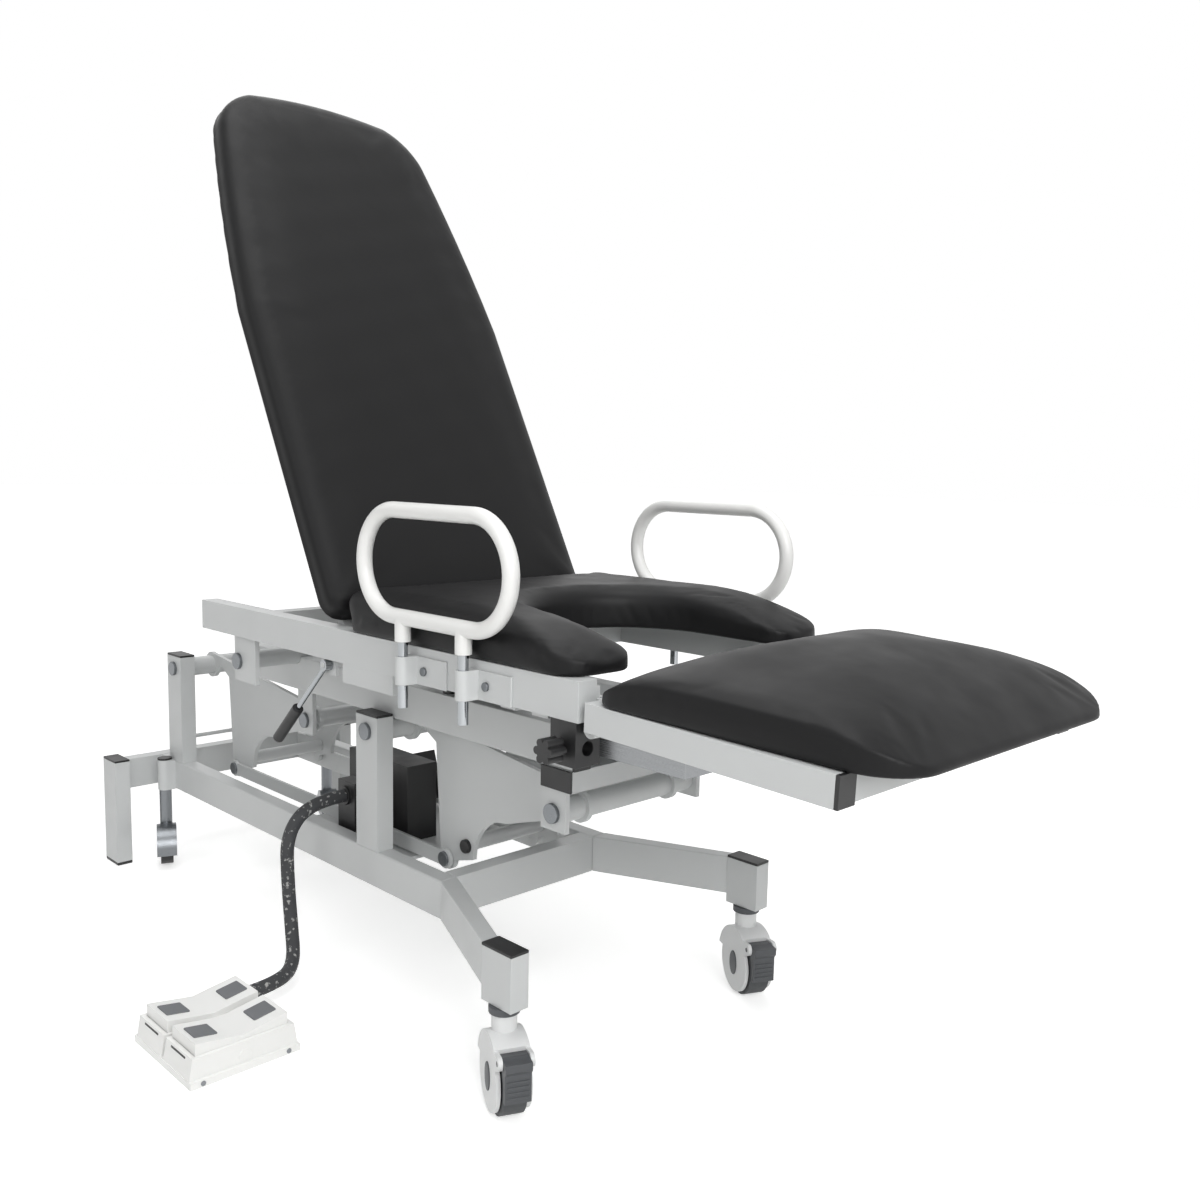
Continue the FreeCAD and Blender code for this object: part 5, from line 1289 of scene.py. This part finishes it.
@dataclass(frozen=True)
class Studio:
    """Pale floor, white backdrop and soft lamps."""

    floor_half: float = 30.0
    floor_level: float = -0.0005
    floor_colour: str = "#f4f4f3"
    floor_roughness: float = 0.8
    floor_specular: float = 0.1
    glow_near: float = 0.54
    glow_far: float = 0.85
    glow_span: tuple[float, float] = (1.2, 5.0)
    ambient: float = 0.22
    backdrop: float = 1.0
    lamps: tuple[Lamp, ...] = (Lamp("key light", (3.7, -1.3, 2.3), 88.0, 2.2),
                               Lamp("fill light", (1.2, -3.4, 2.6), 28.0, 2.6),
                               Lamp("back light", (-2.4, 1.4, 3.2), 26.0, 2.4),
                               Lamp("top light", (0.5, -0.2, 4.2), 62.0, 2.4))

    def seen(self, tree: bpy.types.NodeTree) -> bpy.types.NodeSocket:
        """Return a socket that is 1 for rays from the camera, a mirror surface or a clear one.

        Args:
            tree: Node tree that takes the nodes.

        Returns:
            The socket.
        """
        path = add_node(tree, "ShaderNodeLightPath").outputs
        mirror = add_node(tree, "ShaderNodeMath", {0: path["Is Camera Ray"], 1: path["Is Glossy Ray"]},
                          operation="MAXIMUM")
        clear = add_node(tree, "ShaderNodeMath", {0: mirror.outputs[0], 1: path["Is Transmission Ray"]},
                         operation="MAXIMUM")
        return clear.outputs[0]

    def floor_material(self) -> bpy.types.Material:
        """Make the floor: matt and pale, with a glow that lifts it to white away from the table.

        Returns:
            The material.
        """
        material = bpy.data.materials.new("pale studio floor")
        material.use_nodes = True
        tree = material.node_tree
        surface = tree.nodes["Principled BSDF"]
        constants = {"Base Color": linear(self.floor_colour), "Roughness": self.floor_roughness,
                     "Specular IOR Level": self.floor_specular, "Emission Color": WHITE}
        for socket, value in constants.items():
            surface.inputs[socket].default_value = value
        where = add_node(tree, "ShaderNodeTexCoord").outputs["Object"]
        away = add_node(tree, "ShaderNodeVectorMath", {0: where}, operation="LENGTH").outputs["Value"]
        fade = add_node(tree, "ShaderNodeMapRange", {"Value": away, "From Min": self.glow_span[0],
                                                     "From Max": self.glow_span[1], "To Min": self.glow_near,
                                                     "To Max": self.glow_far})
        glow = add_node(tree, "ShaderNodeMath", {0: self.seen(tree), 1: fade.outputs["Result"]},
                        operation="MULTIPLY")
        tree.links.new(glow.outputs[0], surface.inputs["Emission Strength"])
        return material

    def build_world(self) -> None:
        """Make the world: an even light, seen as a white backdrop."""
        world = bpy.data.worlds.new("studio")
        world.use_nodes = True
        tree = world.node_tree
        soft = tree.nodes["Background"]
        soft.inputs["Color"].default_value = WHITE
        soft.inputs["Strength"].default_value = self.ambient
        white = add_node(tree, "ShaderNodeBackground", {"Color": WHITE, "Strength": self.backdrop})
        choose = add_node(tree, "ShaderNodeMixShader", {0: self.seen(tree), 1: soft.outputs[0],
                                                        2: white.outputs[0]})
        tree.links.new(choose.outputs[0], tree.nodes["World Output"].inputs["Surface"])
        bpy.context.scene.world = world

    def build(self) -> None:
        """Add the floor, the world and the lamps."""
        corners = np.array([(-1.0, -1.0), (1.0, -1.0), (1.0, 1.0), (-1.0, 1.0)]) * self.floor_half
        floor = link_mesh("floor", np.column_stack([corners, np.full(4, self.floor_level)]), [[0, 1, 2, 3]],
                          self.floor_material())
        self.build_world()
        for lamp in self.lamps:
            lamp.build()
        bpy.context.scene.view_settings.view_transform = "Standard"


def main() -> None:
    """Build the whole scene."""
    logging.basicConfig(level=logging.INFO)
    for obj in list(bpy.data.objects):
        bpy.data.objects.remove(obj)
    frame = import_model()
    Studio().build()
    PhotoCamera().build()
    materials = {key: finish.build() for key, finish in FINISHES.items()}
    nodes = frame["nodes"]
    pieces = CadFrame(nodes, frame["record"]).dress(materials)
    castors = [FrontCastor(side, heading, nodes) for side, heading in FRONT_HEADINGS.items()]
    details = (SeatPad(), BackPad(), FootPad(), Hose(), FootSwitch(), LiftArms(nodes), *castors)
    for detail in details:
        pieces += detail.build(materials)
    for piece in pieces:
        LOG.info("piece %s", piece.name)


if __name__ == "__main__":
    main()
